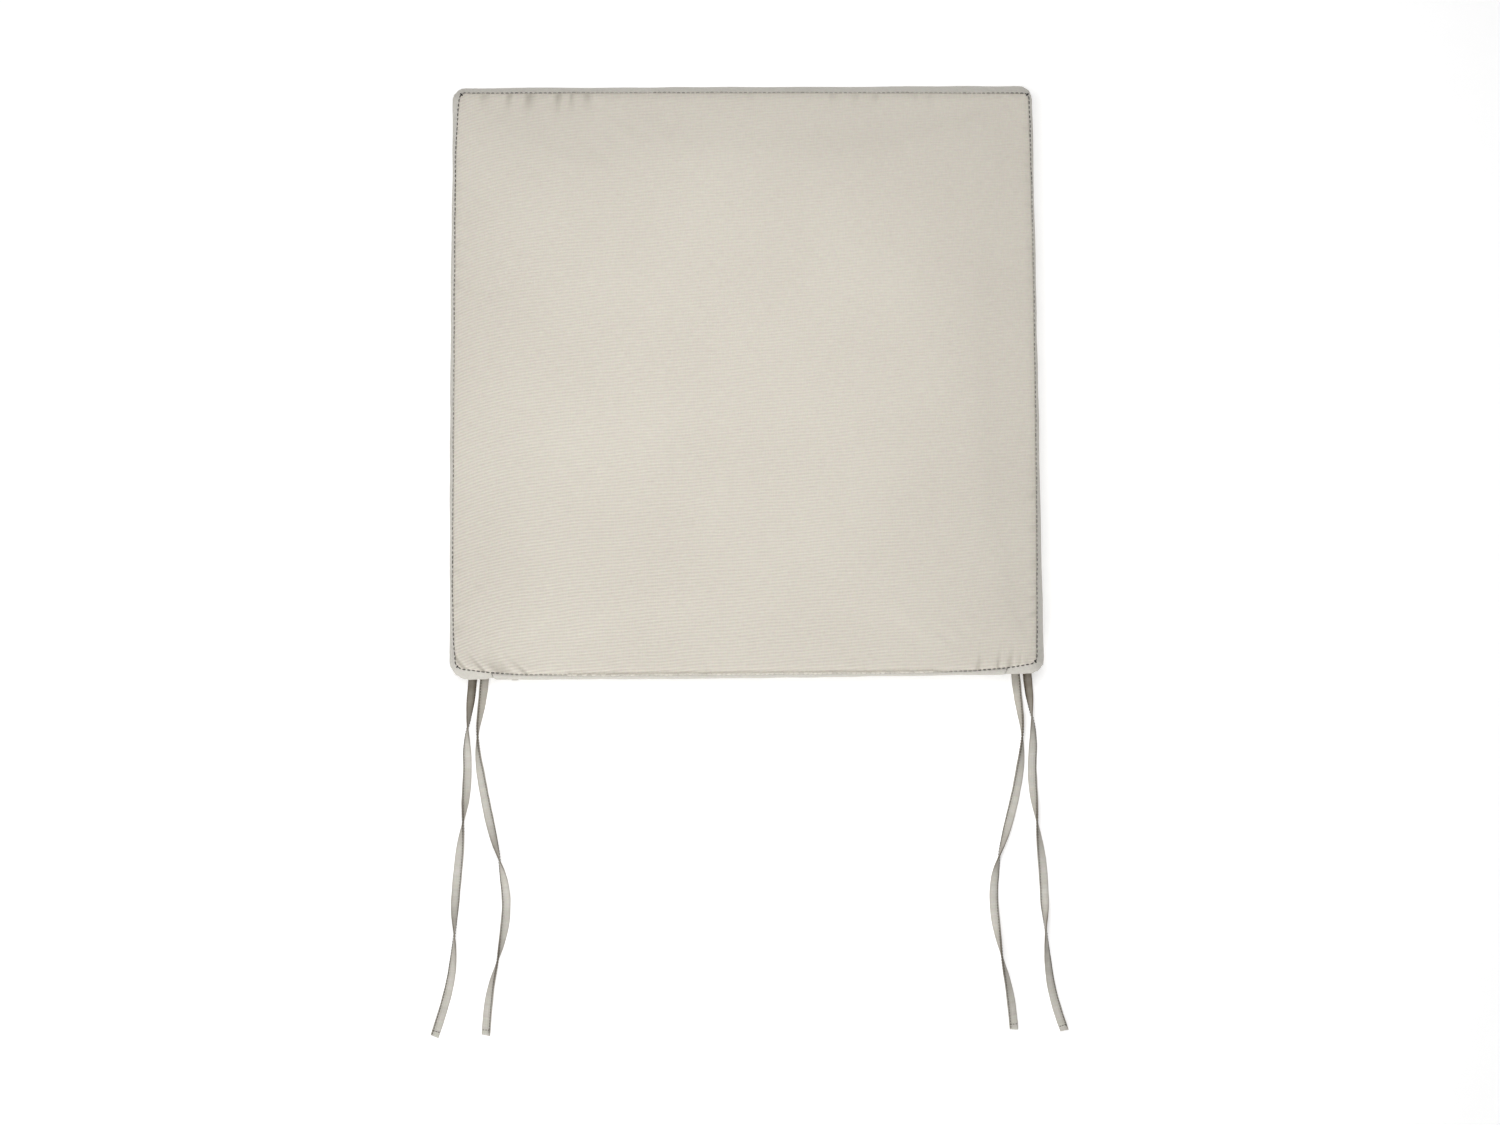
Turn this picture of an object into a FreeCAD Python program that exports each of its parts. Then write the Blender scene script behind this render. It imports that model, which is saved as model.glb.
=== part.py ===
"""Boxed chair seat pad with four tie bands.

A foam block sits in a sewn cover: a top panel, a bottom panel and a border between them. Along the tie side
the border is a zip panel of two strips. The origin is the middle of the underside, +Z is up and the tie side
faces -Y. Lengths are in millimetres.
"""

import FreeCAD
import Part
import Sketcher
import math
import os
import re

SIZES = [
    # The cover
    ("pad_width", 500.0, "across X, at the fullest part of the border"),
    ("pad_depth", 500.0, "across Y, at the fullest part of the border"),
    ("bottom_seam_height", 3.5, "the bottom seam above the underside"),
    ("top_seam_height", 44.5, "the top seam above the underside"),
    ("crown_rise", 5.5, "the middle of the top panel above its seam"),
    ("fabric", 0.9, "cover cloth with its coating and hems"),
    ("seam_inset", 7.0, "how far both seams lie inside the fullest part"),
    ("tie_seam_inset", 4.0, "the same on the tie side"),
    ("seam_corner", 4.0, "corner radius of both seams"),
    ("tie_corner", 14.0, "corner radius of the border on the tie side"),
    ("far_corner", 9.0, "corner radius of the border on the far side"),
    ("shoulder_run", 12.0, "from the top seam in to the end of the steep edge"),
    ("shoulder_rise", 3.2, "height of the steep edge above the seam"),
    ("crown_run", 60.0, "from the top seam in to the level middle"),
    ("sole_run", 14.0, "from the bottom seam in to the flat underside"),
    ("core_ease", 0.3, "between the foam and the cover's walls"),
    ("thread", 0.5, "sewing thread, as a square section"),
    # The zip panel on the tie side
    ("join_left", 39.4, "from the left side to the zip panel"),
    ("join_right", 34.5, "from the right side to the zip panel"),
    ("fold_ease", 0.35, "between the rims of the slider and the folds beside the zip"),
    ("zip_land", 2.7, "flat sewn strip beside each fold"),
    ("zip_sink", 2.4, "how far the sewn strips lie inside the fullest part"),
    ("tape", 0.6, "woven zip tape"),
    ("coil_width", 2.3, "one row of the coil"),
    ("coil_depth", 1.2, "height of the coil above its tape"),
    ("coil_gap", 1.4, "between the two rows, for the neck of the slider"),
    ("relief_depth", 1.0, "room behind the slider, cut from the foam"),
    # The slider and its pull
    ("play", 0.25, "running clearance of the slider and its pull"),
    ("plate", 0.7, "both plates of the slider"),
    ("slider_length", 9.0, "along the zip"),
    ("flange", 0.7, "rims that keep the coil under the plate"),
    ("neck_length", 2.4, "post that joins the plates between the rows"),
    ("bridge_length", 5.2, "loop that holds the pull, along the zip"),
    ("bridge_width", 1.6, "loop that holds the pull, across the zip"),
    ("bar_radius", 0.45, "crossbar of the pull"),
    ("arm_width", 0.8, "side arms of the pull"),
    ("tab_start", 3.4, "from the crossbar to the tab"),
    ("tab_width", 5.0, "tab of the pull"),
    ("pull_reach", 15.0, "from the crossbar to the tip of the pull"),
    ("zip_end", 16.5, "from the join to the crossbar with the zip closed"),
    # The ties
    ("tie_width", 7.5, "flat band, which turns over and over as it lies"),
]

# The part of the shorter run beside a corner of a tie that the corner's arc takes.
ARC_SHARE = 0.45

# Where each tie lies on the surface that the pad rests on, from the bottom seam to its cut end. A point is
# its distance in from the pad's nearer side, and its distance out from the fullest part of the tie side.
TIE_ROUTES = {
    "tie_left_outer": [
        (18.0, -4.0),
        (16.0, 18.0),
        (12.4, 50.0),
        (13.2, 83.0),
        (10.2, 118.0),
        (5.2, 158.0),
        (2.4, 194.0),
        (2.8, 228.0),
        (-2.6, 266.0),
        (-14.3, 300.6),
    ],
    "tie_left_inner": [
        (28.0, -4.0),
        (26.0, 18.0),
        (20.4, 52.0),
        (26.0, 92.0),
        (33.6, 128.0),
        (43.4, 162.0),
        (47.0, 194.0),
        (41.4, 230.0),
        (30.6, 268.0),
        (28.9, 299.9),
    ],
    "tie_right_inner": [
        (22.0, -4.0),
        (20.0, 16.0),
        (15.6, 48.0),
        (19.6, 88.0),
        (29.2, 126.0),
        (40.2, 160.0),
        (42.4, 192.0),
        (36.6, 232.0),
        (27.6, 270.0),
        (25.7, 296.8),
    ],
    "tie_right_outer": [
        (12.1, -4.0),
        (10.2, 16.0),
        (6.6, 48.0),
        (8.8, 83.0),
        (4.8, 124.0),
        (-0.6, 164.0),
        (-1.2, 200.0),
        (-2.2, 232.0),
        (-7.0, 270.0),
        (-16.9, 297.8),
    ],
}

doc = FreeCAD.newDocument("seat_pad")
sheet = doc.addObject("Spreadsheet::Sheet", "Sizes")
for row, (alias, value, meaning) in enumerate(SIZES, start=1):
    sheet.set(f"A{row}", alias)
    sheet.set(f"B{row}", str(value))
    sheet.setAlias(f"B{row}", alias)
    sheet.set(f"C{row}", meaning)
doc.recompute()


def sized(text):
    """An expression with each alias written as the sheet's cell, such as Sizes.fabric."""
    cells = {alias: f"Sizes.{alias}" for alias, _, _ in SIZES}
    return re.sub("[a-z_]+", lambda word: cells.get(word[0], word[0]), text)


def number(text):
    """What an expression comes to."""
    return float(sheet.evalExpression(sized(text)))


def bind(thing, **texts):
    """Binds properties of an object to expressions. place_x, place_y and place_z are its placement."""
    for name, text in texts.items():
        path = f"Placement.Base.{name[-1]}" if name.startswith("place_") else name
        thing.setExpression(path, sized(text))
    return thing


def part(kind, name, **texts):
    """A new object of the document whose sizes and place are expressions."""
    return bind(doc.addObject(kind, name), **texts)


# Levels and lines that several pieces share.
SIDE_X = "( pad_width / 2 )"
TIE_Y = "( 0 - pad_depth / 2 )"
MIDDLE = "( ( bottom_seam_height + top_seam_height ) / 2 )"
TOP_LEVEL = "( top_seam_height + crown_rise )"
ZIP_LEFT = f"( join_left - {SIDE_X} )"
ZIP_LENGTH = "( pad_width - join_left - join_right )"
LAND_FACE = f"( {TIE_Y} + zip_sink )"
TAPE_FACE = f"( {LAND_FACE} + fabric )"
TAPE_BACK = f"( {TAPE_FACE} + tape )"
HALF_WALL = f"( top_seam_height - {MIDDLE} )"
RIM_START = "( coil_gap / 2 + coil_width + play )"
HALF_WINDOW = f"( {RIM_START} + flange + fold_ease )"
LAND_TOP = f"( {HALF_WINDOW} + zip_land )"
PLATE_INNER = f"( {TAPE_FACE} - coil_depth - play )"
PLATE_OUTER = f"( {PLATE_INNER} - plate )"
BAR_Y = f"( {PLATE_OUTER} - play - bar_radius )"
BEAM_INNER = f"( {BAR_Y} - bar_radius - play )"
BACK_PLATE = f"( {TAPE_BACK} + play )"
SLIDER_X = f"( {ZIP_LEFT} + zip_end )"


def pin(sketch, name, kind, where, text):
    """Fixes a distance in a sketch to an expression. where is the constraint's geometry and points."""
    value = number(text)
    at = sketch.addConstraint(Sketcher.Constraint(kind, *where, value))
    sketch.renameConstraint(at, name)
    sketch.setExpression(f"Constraints.{name}", sized(text))


def outline(name, insets, height, tie_radius, far_radius):
    """A rounded rectangle at a height, with its own corner radius at each end.

    insets are how far it lies inside the pad's fullest part: on three sides, and on the tie side.
    """
    side_inset, tie_inset = insets
    side = f"{SIDE_X} - ( {side_inset} )"
    across = number(side)
    edges = {
        "right": side,
        "left": side,
        "far": f"pad_depth / 2 - ( {side_inset} )",
        "near": f"pad_depth / 2 - ( {tie_inset} )",
    }
    reach = {1: number(edges["far"]), -1: number(edges["near"])}
    near, far = number(tie_radius), number(far_radius)
    sketch = part("Sketcher::SketchObject", name, place_z=height)
    corners = [(1, -1, near), (1, 1, far), (-1, 1, far), (-1, -1, near)]
    for turn, (sx, sy, radius) in enumerate(corners):
        centre = FreeCAD.Vector(sx * (across - radius), sy * (reach[sy] - radius), 0)
        circle = Part.Circle(centre, FreeCAD.Vector(0, 0, 1), radius)
        start = (turn - 1) * math.pi / 2
        sketch.addGeometry(Part.ArcOfCircle(circle, start, start + math.pi / 2))
    for turn in range(4):
        arc, following = sketch.Geometry[turn], sketch.Geometry[(turn + 1) % 4]
        sketch.addGeometry(Part.LineSegment(arc.EndPoint, following.StartPoint))
    for turn in range(4):
        line, following = turn + 4, (turn + 1) % 4
        sketch.addConstraint(Sketcher.Constraint("Tangent", turn, 2, line, 1))
        sketch.addConstraint(Sketcher.Constraint("Tangent", line, 2, following, 1))
        level = "Vertical" if turn % 2 == 0 else "Horizontal"
        sketch.addConstraint(Sketcher.Constraint(level, line))
    pin(sketch, "right", "DistanceX", (-1, 1, 4, 1), edges["right"])
    pin(sketch, "left", "DistanceX", (6, 1, -1, 1), edges["left"])
    pin(sketch, "far", "DistanceY", (-1, 1, 5, 1), edges["far"])
    pin(sketch, "near", "DistanceY", (7, 1, -1, 1), edges["near"])
    radii = (tie_radius, far_radius, far_radius, tie_radius)
    for turn, radius in enumerate(radii):
        pin(sketch, f"corner_{turn}", "Radius", (turn,), radius)
    return sketch


def from_seam(further="0"):
    """The insets of an outline that lies further in than the seams by an expression."""
    return (f"seam_inset + {further}", f"tie_seam_inset + {further}")


def from_full(further="0"):
    """The insets of an outline that lies inside the fullest part by an expression."""
    return (further, further)


def stack(name, levels, ruled=True):
    """A solid through outlines, each given by its insets, its height and its two corner radii."""
    sections = [outline(f"{name}_{i}", *level) for i, level in enumerate(levels)]
    solid = doc.addObject("Part::Loft", name)
    solid.Sections = sections
    solid.Solid = True
    solid.Ruled = ruled
    return solid


def cut(name, base, *tools):
    """The base less every tool, one after another. Only the last step has the piece's name."""
    for step, tool in enumerate(tools):
        last = step == len(tools) - 1
        result = doc.addObject("Part::Cut", name if last else f"{name}_step_{step}")
        result.Base = base
        result.Tool = tool
        base = result
    return base


def common(name, base, tool):
    """What the base and the tool share."""
    result = doc.addObject("Part::Common", name)
    result.Base = base
    result.Tool = tool
    return result


def box(name, length, width, height, x, y, z):
    """A block with its lowest corner at x, y, z, all as expressions."""
    sizes = {"Length": length, "Width": width, "Height": height}
    return part("Part::Box", name, **sizes, place_x=x, place_y=y, place_z=z)


def seam_thread(name, height):
    """The thread of a seam: a square ring, its outer face on the seam's outline."""
    low = f"{height} - thread / 2"
    rings = []
    for which, further in (("outer", "0"), ("inner", "thread")):
        corner = f"seam_corner - {further}"
        ring = part("Part::Extrusion", f"{name}_{which}")
        ring.Base = outline(f"{name}_{which}_line", from_seam(further), low, corner, corner)
        ring.DirMode = "Normal"
        ring.Solid = True
        rings.append(bind(ring, LengthFwd="thread"))
    return cut(name, *rings)


def border_wall():
    """The whole border as one ring between the seams, fullest half way up."""
    walls = []
    for which, depth in (("outside", "0"), ("inside", "fabric")):
        seam = (f"seam_corner - {depth} / 2", f"seam_corner - {depth} / 2")
        full = (f"tie_corner - {depth}", f"far_corner - {depth}")
        levels = [
            (from_seam(depth), "bottom_seam_height", *seam),
            (from_full(depth), MIDDLE, *full),
            (from_seam(depth), "top_seam_height", *seam),
        ]
        walls.append(stack(f"border_{which}", levels, ruled=False))
    return cut("border_wall", *walls), walls[0]


def skin(name, levels):
    """A panel of the cover: a solid through the levels, less the same solid one cloth inside it.

    Each level is how far it lies in from the seam, its height, and how its inside differs in height.
    """
    shells = []
    for which in ("outside", "inside"):
        rows = []
        for further, height, inward in levels:
            if which == "inside":
                further = f"{further} + fabric"
                height = f"{height} {inward}"
            rows.append((from_seam(further), height, "seam_corner", "seam_corner"))
        shells.append(stack(f"{name}_{which}", rows))
    return cut(f"{name}_shell", *shells)


def foam_core():
    """The foam block: flat below, full at the border, crowned on top, cut back behind the zip."""
    ease = "fabric + core_ease"
    corners = ("seam_corner", "seam_corner")
    levels = [
        (from_seam(f"{ease} + sole_run"), "fabric", *corners),
        (from_seam(ease), "bottom_seam_height", *corners),
        (from_full(ease), MIDDLE, f"tie_corner - ( {ease} )", f"far_corner - ( {ease} )"),
        (from_seam(ease), "top_seam_height", *corners),
        (from_seam(f"{ease} + shoulder_run"), f"top_seam_height + shoulder_rise - ( {ease} )", *corners),
        (from_seam(f"{ease} + crown_run"), f"{TOP_LEVEL} - ( {ease} )", *corners),
    ]
    block = stack("foam_block", levels)
    behind_seam = f"{TIE_Y} + tie_seam_inset + 2 * fabric + core_ease"
    behind_slider = f"{BACK_PLATE} + plate + relief_depth"
    relief = box(
        "zip_relief",
        ZIP_LENGTH,
        f"max({behind_seam}; {behind_slider}) - {TIE_Y}",
        TOP_LEVEL,
        ZIP_LEFT,
        TIE_Y,
        "0",
    )
    return cut("foam_core", block, relief)


def new_sketch(body, name, role, offset="0"):
    """A sketch on one of a body's origin planes, moved along the plane's normal by an expression."""
    sketch = body.newObject("Sketcher::SketchObject", name)
    plane = next(p for p in body.Origin.OriginFeatures if p.Role == role)
    sketch.AttachmentSupport = [(plane, "")]
    sketch.MapMode = "FlatFace"
    sketch.setExpression("AttachmentOffset.Base.z", sized(offset))
    return sketch


def polygon(sketch, points):
    """A closed outline through points. Each point is two expressions, and both are constraints."""
    places = [FreeCAD.Vector(number(u), number(v), 0) for u, v in points]
    count = len(points)
    for at in range(count):
        sketch.addGeometry(Part.LineSegment(places[at], places[(at + 1) % count]))
    for at in range(count):
        sketch.addConstraint(Sketcher.Constraint("Coincident", at, 2, (at + 1) % count, 1))
    place_points(sketch, points)


def place_points(sketch, points):
    """Ties the start of each line or arc of a sketch to its two coordinates."""
    for at, (u, v) in enumerate(points):
        for axis, text in (("X", u), ("Y", v)):
            pin_point(sketch, at, 1, axis, text)


def pin_point(sketch, geometry, point, axis, text):
    """Ties one coordinate of a point to an expression, on the side of the origin that it lies on."""
    order = (-1, 1, geometry, point)
    if number(text) < 0:
        order = (geometry, point, -1, 1)
        text = f"0 - ( {text} )"
    pin(sketch, f"{axis}_{geometry}_{point}", f"Distance{axis}", order, text)


def pad(body, sketch, length):
    """Extrudes a sketch of a body along the sketch's normal."""
    feature = body.newObject("PartDesign::Pad", f"{sketch.Name}_pad")
    feature.Profile = sketch
    feature.setExpression("Length", sized(length))
    doc.recompute()
    return feature


def arc_between(start, end, centre):
    """An arc of a circle the short way from start to end, and whether it had to be turned round."""
    normal = FreeCAD.Vector(0, 0, 1)
    circle = Part.Circle(centre, normal, (start - centre).Length)
    first = math.atan2(start.y - centre.y, start.x - centre.x)
    last = math.atan2(end.y - centre.y, end.x - centre.x)
    turned = (last - first) % (2 * math.pi) > math.pi
    if turned:
        first, last = last, first
    return Part.ArcOfCircle(circle, first, last), turned


def strip(name, side):
    """One strip of the zip panel: it leaves the seam, swells to the full width and ends in a flat land.

    side is 1 above the zip and -1 below it. Outside and inside are two arcs each, which meet upright at the
    fullest point, half way from the seam to the land. At the seam the cloth is double, with its allowance
    against it, and upright for the height of a thread. The sketch lies across the zip, so its first axis is
    Y and its second is Z.
    """
    body = doc.addObject("PartDesign::Body", f"{name}_body")
    sketch = new_sketch(body, f"{name}_profile", "YZ_Plane", ZIP_LEFT)
    seam = f"( {MIDDLE} + {side} * {HALF_WALL} )"
    lip = f"( {MIDDLE} + {side} * ( {HALF_WALL} - thread ) )"
    full = f"( {MIDDLE} + {side} * ( {HALF_WALL} + {LAND_TOP} ) / 2 )"
    land = f"( {MIDDLE} + {side} * {LAND_TOP} )"
    fold = f"( {MIDDLE} + {side} * {HALF_WINDOW} )"
    points = [
        (f"{TIE_Y} + tie_seam_inset", seam),
        (f"{TIE_Y} + tie_seam_inset", lip),
        (TIE_Y, full),
        (LAND_FACE, land),
        (LAND_FACE, fold),
        (TAPE_FACE, fold),
        (TAPE_FACE, land),
        (f"{TIE_Y} + fabric", full),
        (f"{TIE_Y} + tie_seam_inset + 2 * fabric", lip),
        (f"{TIE_Y} + tie_seam_inset + 2 * fabric", seam),
    ]
    places = [FreeCAD.Vector(number(u), number(v), 0) for u, v in points]
    fullest = {1: 2, 2: 2, 6: 7, 7: 7}
    ends = []
    for at, start in enumerate(places):
        end = places[(at + 1) % len(places)]
        if at not in fullest:
            sketch.addGeometry(Part.LineSegment(start, end))
            ends.append((1, 2))
            continue
        peak = places[fullest[at]]
        other = start if peak == end else end
        dy, dz = other.x - peak.x, other.y - peak.y
        radius = (dy * dy + dz * dz) / (2 * dy)
        arc, turned = arc_between(start, end, peak + FreeCAD.Vector(radius, 0, 0))
        sketch.addGeometry(arc)
        ends.append((2, 1) if turned else (1, 2))
    for at in range(len(places)):
        following = (at + 1) % len(places)
        joined = (at, ends[at][1], following, ends[following][0])
        sketch.addConstraint(Sketcher.Constraint("Coincident", *joined))
    for at, (u, v) in enumerate(points):
        pin_point(sketch, at, ends[at][0], "X", u)
        pin_point(sketch, at, ends[at][0], "Y", v)
    for at in fullest:
        pin_point(sketch, at, 3, "Y", full)
    pad(body, sketch, ZIP_LENGTH)
    return body


def stitch_row(name, side):
    """The row of stitches along the land, sunk half its thickness into the cloth."""
    height = f"{MIDDLE} + {side} * ( {HALF_WINDOW} + zip_land / 2 ) - thread / 2"
    face = f"{LAND_FACE} - thread / 2"
    return box(name, ZIP_LENGTH, "thread", "thread", ZIP_LEFT, face, height)


def zip_tape(name, side):
    """The woven tape behind one strip, from beside the coil's middle to the end of the land."""
    near, far = f"{side} * coil_gap / 2", f"{side} * {LAND_TOP}"
    low = near if side == 1 else far
    width = f"{LAND_TOP} - coil_gap / 2"
    return box(name, ZIP_LENGTH, "tape", width, ZIP_LEFT, TAPE_FACE, f"{MIDDLE} + {low}")


def zip_coil(name, side):
    """One row of the coil as a bar with a round back, sewn flat on its tape."""
    body = doc.addObject("PartDesign::Body", name)
    sketch = new_sketch(body, f"{name}_profile", "YZ_Plane", ZIP_LEFT)
    inner = f"( {MIDDLE} + {side} * coil_gap / 2 )"
    outer = f"( {MIDDLE} + {side} * ( coil_gap / 2 + coil_width ) )"
    low, high = (inner, outer) if side == 1 else (outer, inner)
    radius = "( coil_depth ^ 2 + ( coil_width / 2 ) ^ 2 ) / ( 2 * coil_depth )"
    foot = FreeCAD.Vector(number(TAPE_FACE), number(low), 0)
    head = FreeCAD.Vector(number(TAPE_FACE), number(high), 0)
    centre = (foot + head) / 2 + FreeCAD.Vector(number(f"{radius} - coil_depth"), 0, 0)
    circle = Part.Circle(centre, FreeCAD.Vector(0, 0, 1), number(radius))
    turns = [math.atan2(p.y - centre.y, p.x - centre.x) % (2 * math.pi) for p in (head, foot)]
    sketch.addGeometry(Part.ArcOfCircle(circle, *turns))
    sketch.addGeometry(Part.LineSegment(foot, head))
    sketch.addConstraint(Sketcher.Constraint("Coincident", 0, 2, 1, 1))
    sketch.addConstraint(Sketcher.Constraint("Coincident", 1, 2, 0, 1))
    for point, height in ((1, high), (2, low)):
        pin_point(sketch, 0, point, "X", TAPE_FACE)
        pin_point(sketch, 0, point, "Y", height)
    pin(sketch, "round_back", "Radius", (0,), radius)
    pad(body, sketch, ZIP_LENGTH)
    return body


def block(body, name, x, y, z):
    """Adds a block to a body. x, y and z are each a low and a high expression."""
    sketch = new_sketch(body, name, "XY_Plane", z[0])
    polygon(sketch, [(x[0], y[0]), (x[1], y[0]), (x[1], y[1]), (x[0], y[1])])
    return pad(body, sketch, f"{z[1]} - ( {z[0]} )")


def about(text, half):
    """A low and a high expression, half each side of a middle."""
    return (f"{text} - {half}", f"{text} + {half}")


def slider_plate(body, name, low, high):
    """One plate of the slider: wide at the end where the rows part, narrower where they leave closed."""
    sketch = new_sketch(body, name, "XZ_Plane", f"0 - {high}")
    reach = f"( {RIM_START} + flange )"
    narrow = RIM_START
    front, back = f"{SLIDER_X} + slider_length / 2", f"{SLIDER_X} - slider_length / 2"
    points = [
        (back, f"{MIDDLE} - {narrow}"),
        (f"{SLIDER_X}", f"{MIDDLE} - {reach}"),
        (front, f"{MIDDLE} - {reach}"),
        (front, f"{MIDDLE} + {reach}"),
        (f"{SLIDER_X}", f"{MIDDLE} + {reach}"),
        (back, f"{MIDDLE} + {narrow}"),
    ]
    polygon(sketch, points)
    return pad(body, sketch, f"{high} - {low}")


def zip_slider():
    """Two plates round the coil, joined by a neck, with rims in front and a bridge for the pull."""
    body = doc.addObject("PartDesign::Body", "zip_slider")
    slider_plate(body, "front_plate", PLATE_OUTER, PLATE_INNER)
    front = f"{SLIDER_X} + slider_length / 2"
    neck_x = (f"{front} - neck_length", front)
    neck_y = (f"{PLATE_INNER} - plate / 2", f"{BACK_PLATE} + plate / 2")
    block(body, "neck", neck_x, neck_y, about(MIDDLE, "( coil_gap / 2 - play )"))
    slider_plate(body, "back_plate", BACK_PLATE, f"( {BACK_PLATE} + plate )")
    rim_y = (f"{PLATE_INNER} - plate / 2", f"{TAPE_FACE} - play")
    for name, side in (("upper_rim", 1), ("lower_rim", -1)):
        middle = f"{MIDDLE} + {side} * ( {RIM_START} + flange / 2 )"
        block(body, name, (SLIDER_X, front), rim_y, about(middle, "flange / 2"))
    half = "bridge_length / 2"
    band = about(MIDDLE, "bridge_width / 2")
    post_y = (f"{BEAM_INNER} - plate / 2", f"{PLATE_OUTER} + plate / 2")
    for name, side in (("front_post", 1), ("back_post", -1)):
        middle = f"{SLIDER_X} + {side} * ( {half} - plate / 2 )"
        block(body, name, about(middle, "plate / 2"), post_y, band)
    beam_y = (f"{BEAM_INNER} - plate", BEAM_INNER)
    block(body, "beam", about(SLIDER_X, half), beam_y, band)
    return body


def zip_pull():
    """A crossbar under the bridge, two arms beside it and a flat tab with a round end."""
    body = doc.addObject("PartDesign::Body", "zip_pull")
    gap = "( bridge_width / 2 + play )"
    reach = f"( {gap} + arm_width )"
    bar = new_sketch(body, "crossbar", "XY_Plane", f"{MIDDLE} - {reach}")
    centre = FreeCAD.Vector(number(SLIDER_X), number(BAR_Y), 0)
    radius = number("bar_radius")
    bar.addGeometry(Part.Circle(centre, FreeCAD.Vector(0, 0, 1), radius))
    pin(bar, "radius", "Radius", (0,), "bar_radius")
    pin_point(bar, 0, 3, "X", SLIDER_X)
    pin_point(bar, 0, 3, "Y", BAR_Y)
    pad(body, bar, f"2 * {reach}")
    arm_x = (SLIDER_X, f"{SLIDER_X} + tab_start + arm_width")
    thick = about(BAR_Y, "bar_radius")
    for name, side in (("upper_arm", 1), ("lower_arm", -1)):
        middle = f"{MIDDLE} + {side} * ( {gap} + arm_width / 2 )"
        block(body, name, arm_x, thick, about(middle, "arm_width / 2"))
    tab = new_sketch(body, "tab", "XZ_Plane", f"0 - ( {BAR_Y} + bar_radius )")
    start, end = f"{SLIDER_X} + tab_start", f"{SLIDER_X} + pull_reach - tab_width / 2"
    low, high = f"{MIDDLE} - tab_width / 2", f"{MIDDLE} + tab_width / 2"
    corners = [(start, high), (start, low), (end, low), (end, high)]
    spots = [FreeCAD.Vector(number(u), number(v), 0) for u, v in corners]
    tip = FreeCAD.Vector(number(end), number(MIDDLE), 0)
    circle = Part.Circle(tip, FreeCAD.Vector(0, 0, 1), number("tab_width / 2"))
    tab.addGeometry(Part.LineSegment(spots[0], spots[1]))
    tab.addGeometry(Part.LineSegment(spots[1], spots[2]))
    tab.addGeometry(Part.ArcOfCircle(circle, -math.pi / 2, math.pi / 2))
    tab.addGeometry(Part.LineSegment(spots[3], spots[0]))
    for at, (u, v) in enumerate(corners):
        tab.addConstraint(Sketcher.Constraint("Coincident", at, 2, (at + 1) % 4, 1))
        pin_point(tab, at, 1, "X", u)
        pin_point(tab, at, 1, "Y", v)
    pin_point(tab, 2, 3, "X", end)
    pad(body, tab, "2 * bar_radius")
    return body


def tie_path(name, points):
    """Straight runs joined by tangent arcs, as one wire at the height of the band's half width.

    Each arc's radius is ARC_SHARE of its shorter run over the tangent of half the turn.
    """
    height = number("tie_width / 2")
    side = -1 if "left" in name else 1
    corner_x, corner_y = side * number(SIDE_X), number(TIE_Y)
    route = [FreeCAD.Vector(corner_x - side * u, corner_y - v, height) for u, v in points]
    edges, start, radii = [], route[0], []
    for before, corner, after in zip(route, route[1:], route[2:]):
        back, on = before - corner, after - corner
        half_turn = (math.pi - back.getAngle(on)) / 2
        reach = ARC_SHARE * min(back.Length, on.Length)
        radii.append(reach / math.tan(half_turn))
        back.normalize()
        on.normalize()
        first, last = corner + back * reach, corner + on * reach
        middle_way = (back + on).normalize()
        depth = radii[-1] / math.cos(half_turn) - radii[-1]
        edges.append(Part.LineSegment(start, first).toShape())
        edges.append(Part.Arc(first, corner + middle_way * depth, last).toShape())
        start = last
    edges.append(Part.LineSegment(start, route[-1]).toShape())
    path = doc.addObject("Part::Feature", f"{name}_path")
    path.Shape = Part.Wire(edges)
    print(name, "length", round(path.Shape.Length, 1), "radii", [round(r) for r in radii])
    return path, route


def tie(name, points, *others):
    """One tie: the round space that its flat band turns in, from the bottom seam to its cut end."""
    path, route = tie_path(name, points)
    section = part("Part::Circle", f"{name}_section", Radius="tie_width / 2")
    start = route[1] - route[0]
    turn = FreeCAD.Rotation(FreeCAD.Vector(0, 0, 1), start)
    section.Placement = FreeCAD.Placement(route[0], turn)
    tube = doc.addObject("Part::Sweep", f"{name}_tube")
    tube.Sections = [section]
    tube.Spine = (path, [f"Edge{i + 1}" for i in range(len(path.Shape.Edges))])
    tube.Solid = True
    doc.recompute()
    area = math.pi * number("tie_width / 2") ** 2
    share = tube.Shape.Volume / (area * path.Shape.Length)
    print(name, "volume over section times length", round(share, 4))
    return cut(name, tube, *others)


wall, cover = border_wall()
top_thread = seam_thread("top_seam_thread", "top_seam_height")
bottom_thread = seam_thread("bottom_seam_thread", "bottom_seam_height")
window = box(
    "zip_opening",
    f"{ZIP_LENGTH} + 2 * thread",
    "seam_inset + 2 * tie_corner",
    TOP_LEVEL,
    f"{ZIP_LEFT} - thread",
    f"{TIE_Y} - tie_corner",
    "0",
)
top_levels = [
    ("0", "top_seam_height", ""),
    ("shoulder_run", "top_seam_height + shoulder_rise", "- fabric"),
    ("crown_run", TOP_LEVEL, "- fabric"),
]
bottom_levels = [
    ("sole_run", "0", "+ fabric"),
    ("0", "bottom_seam_height", ""),
]
pieces = [
    foam_core(),
    cut("top_panel", skin("top", top_levels), top_thread),
    cut("bottom_panel", skin("bottom", bottom_levels), bottom_thread),
    cut("wrap_border", wall, window, top_thread, bottom_thread),
    top_thread,
    bottom_thread,
    zip_slider(),
    zip_pull(),
]
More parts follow.
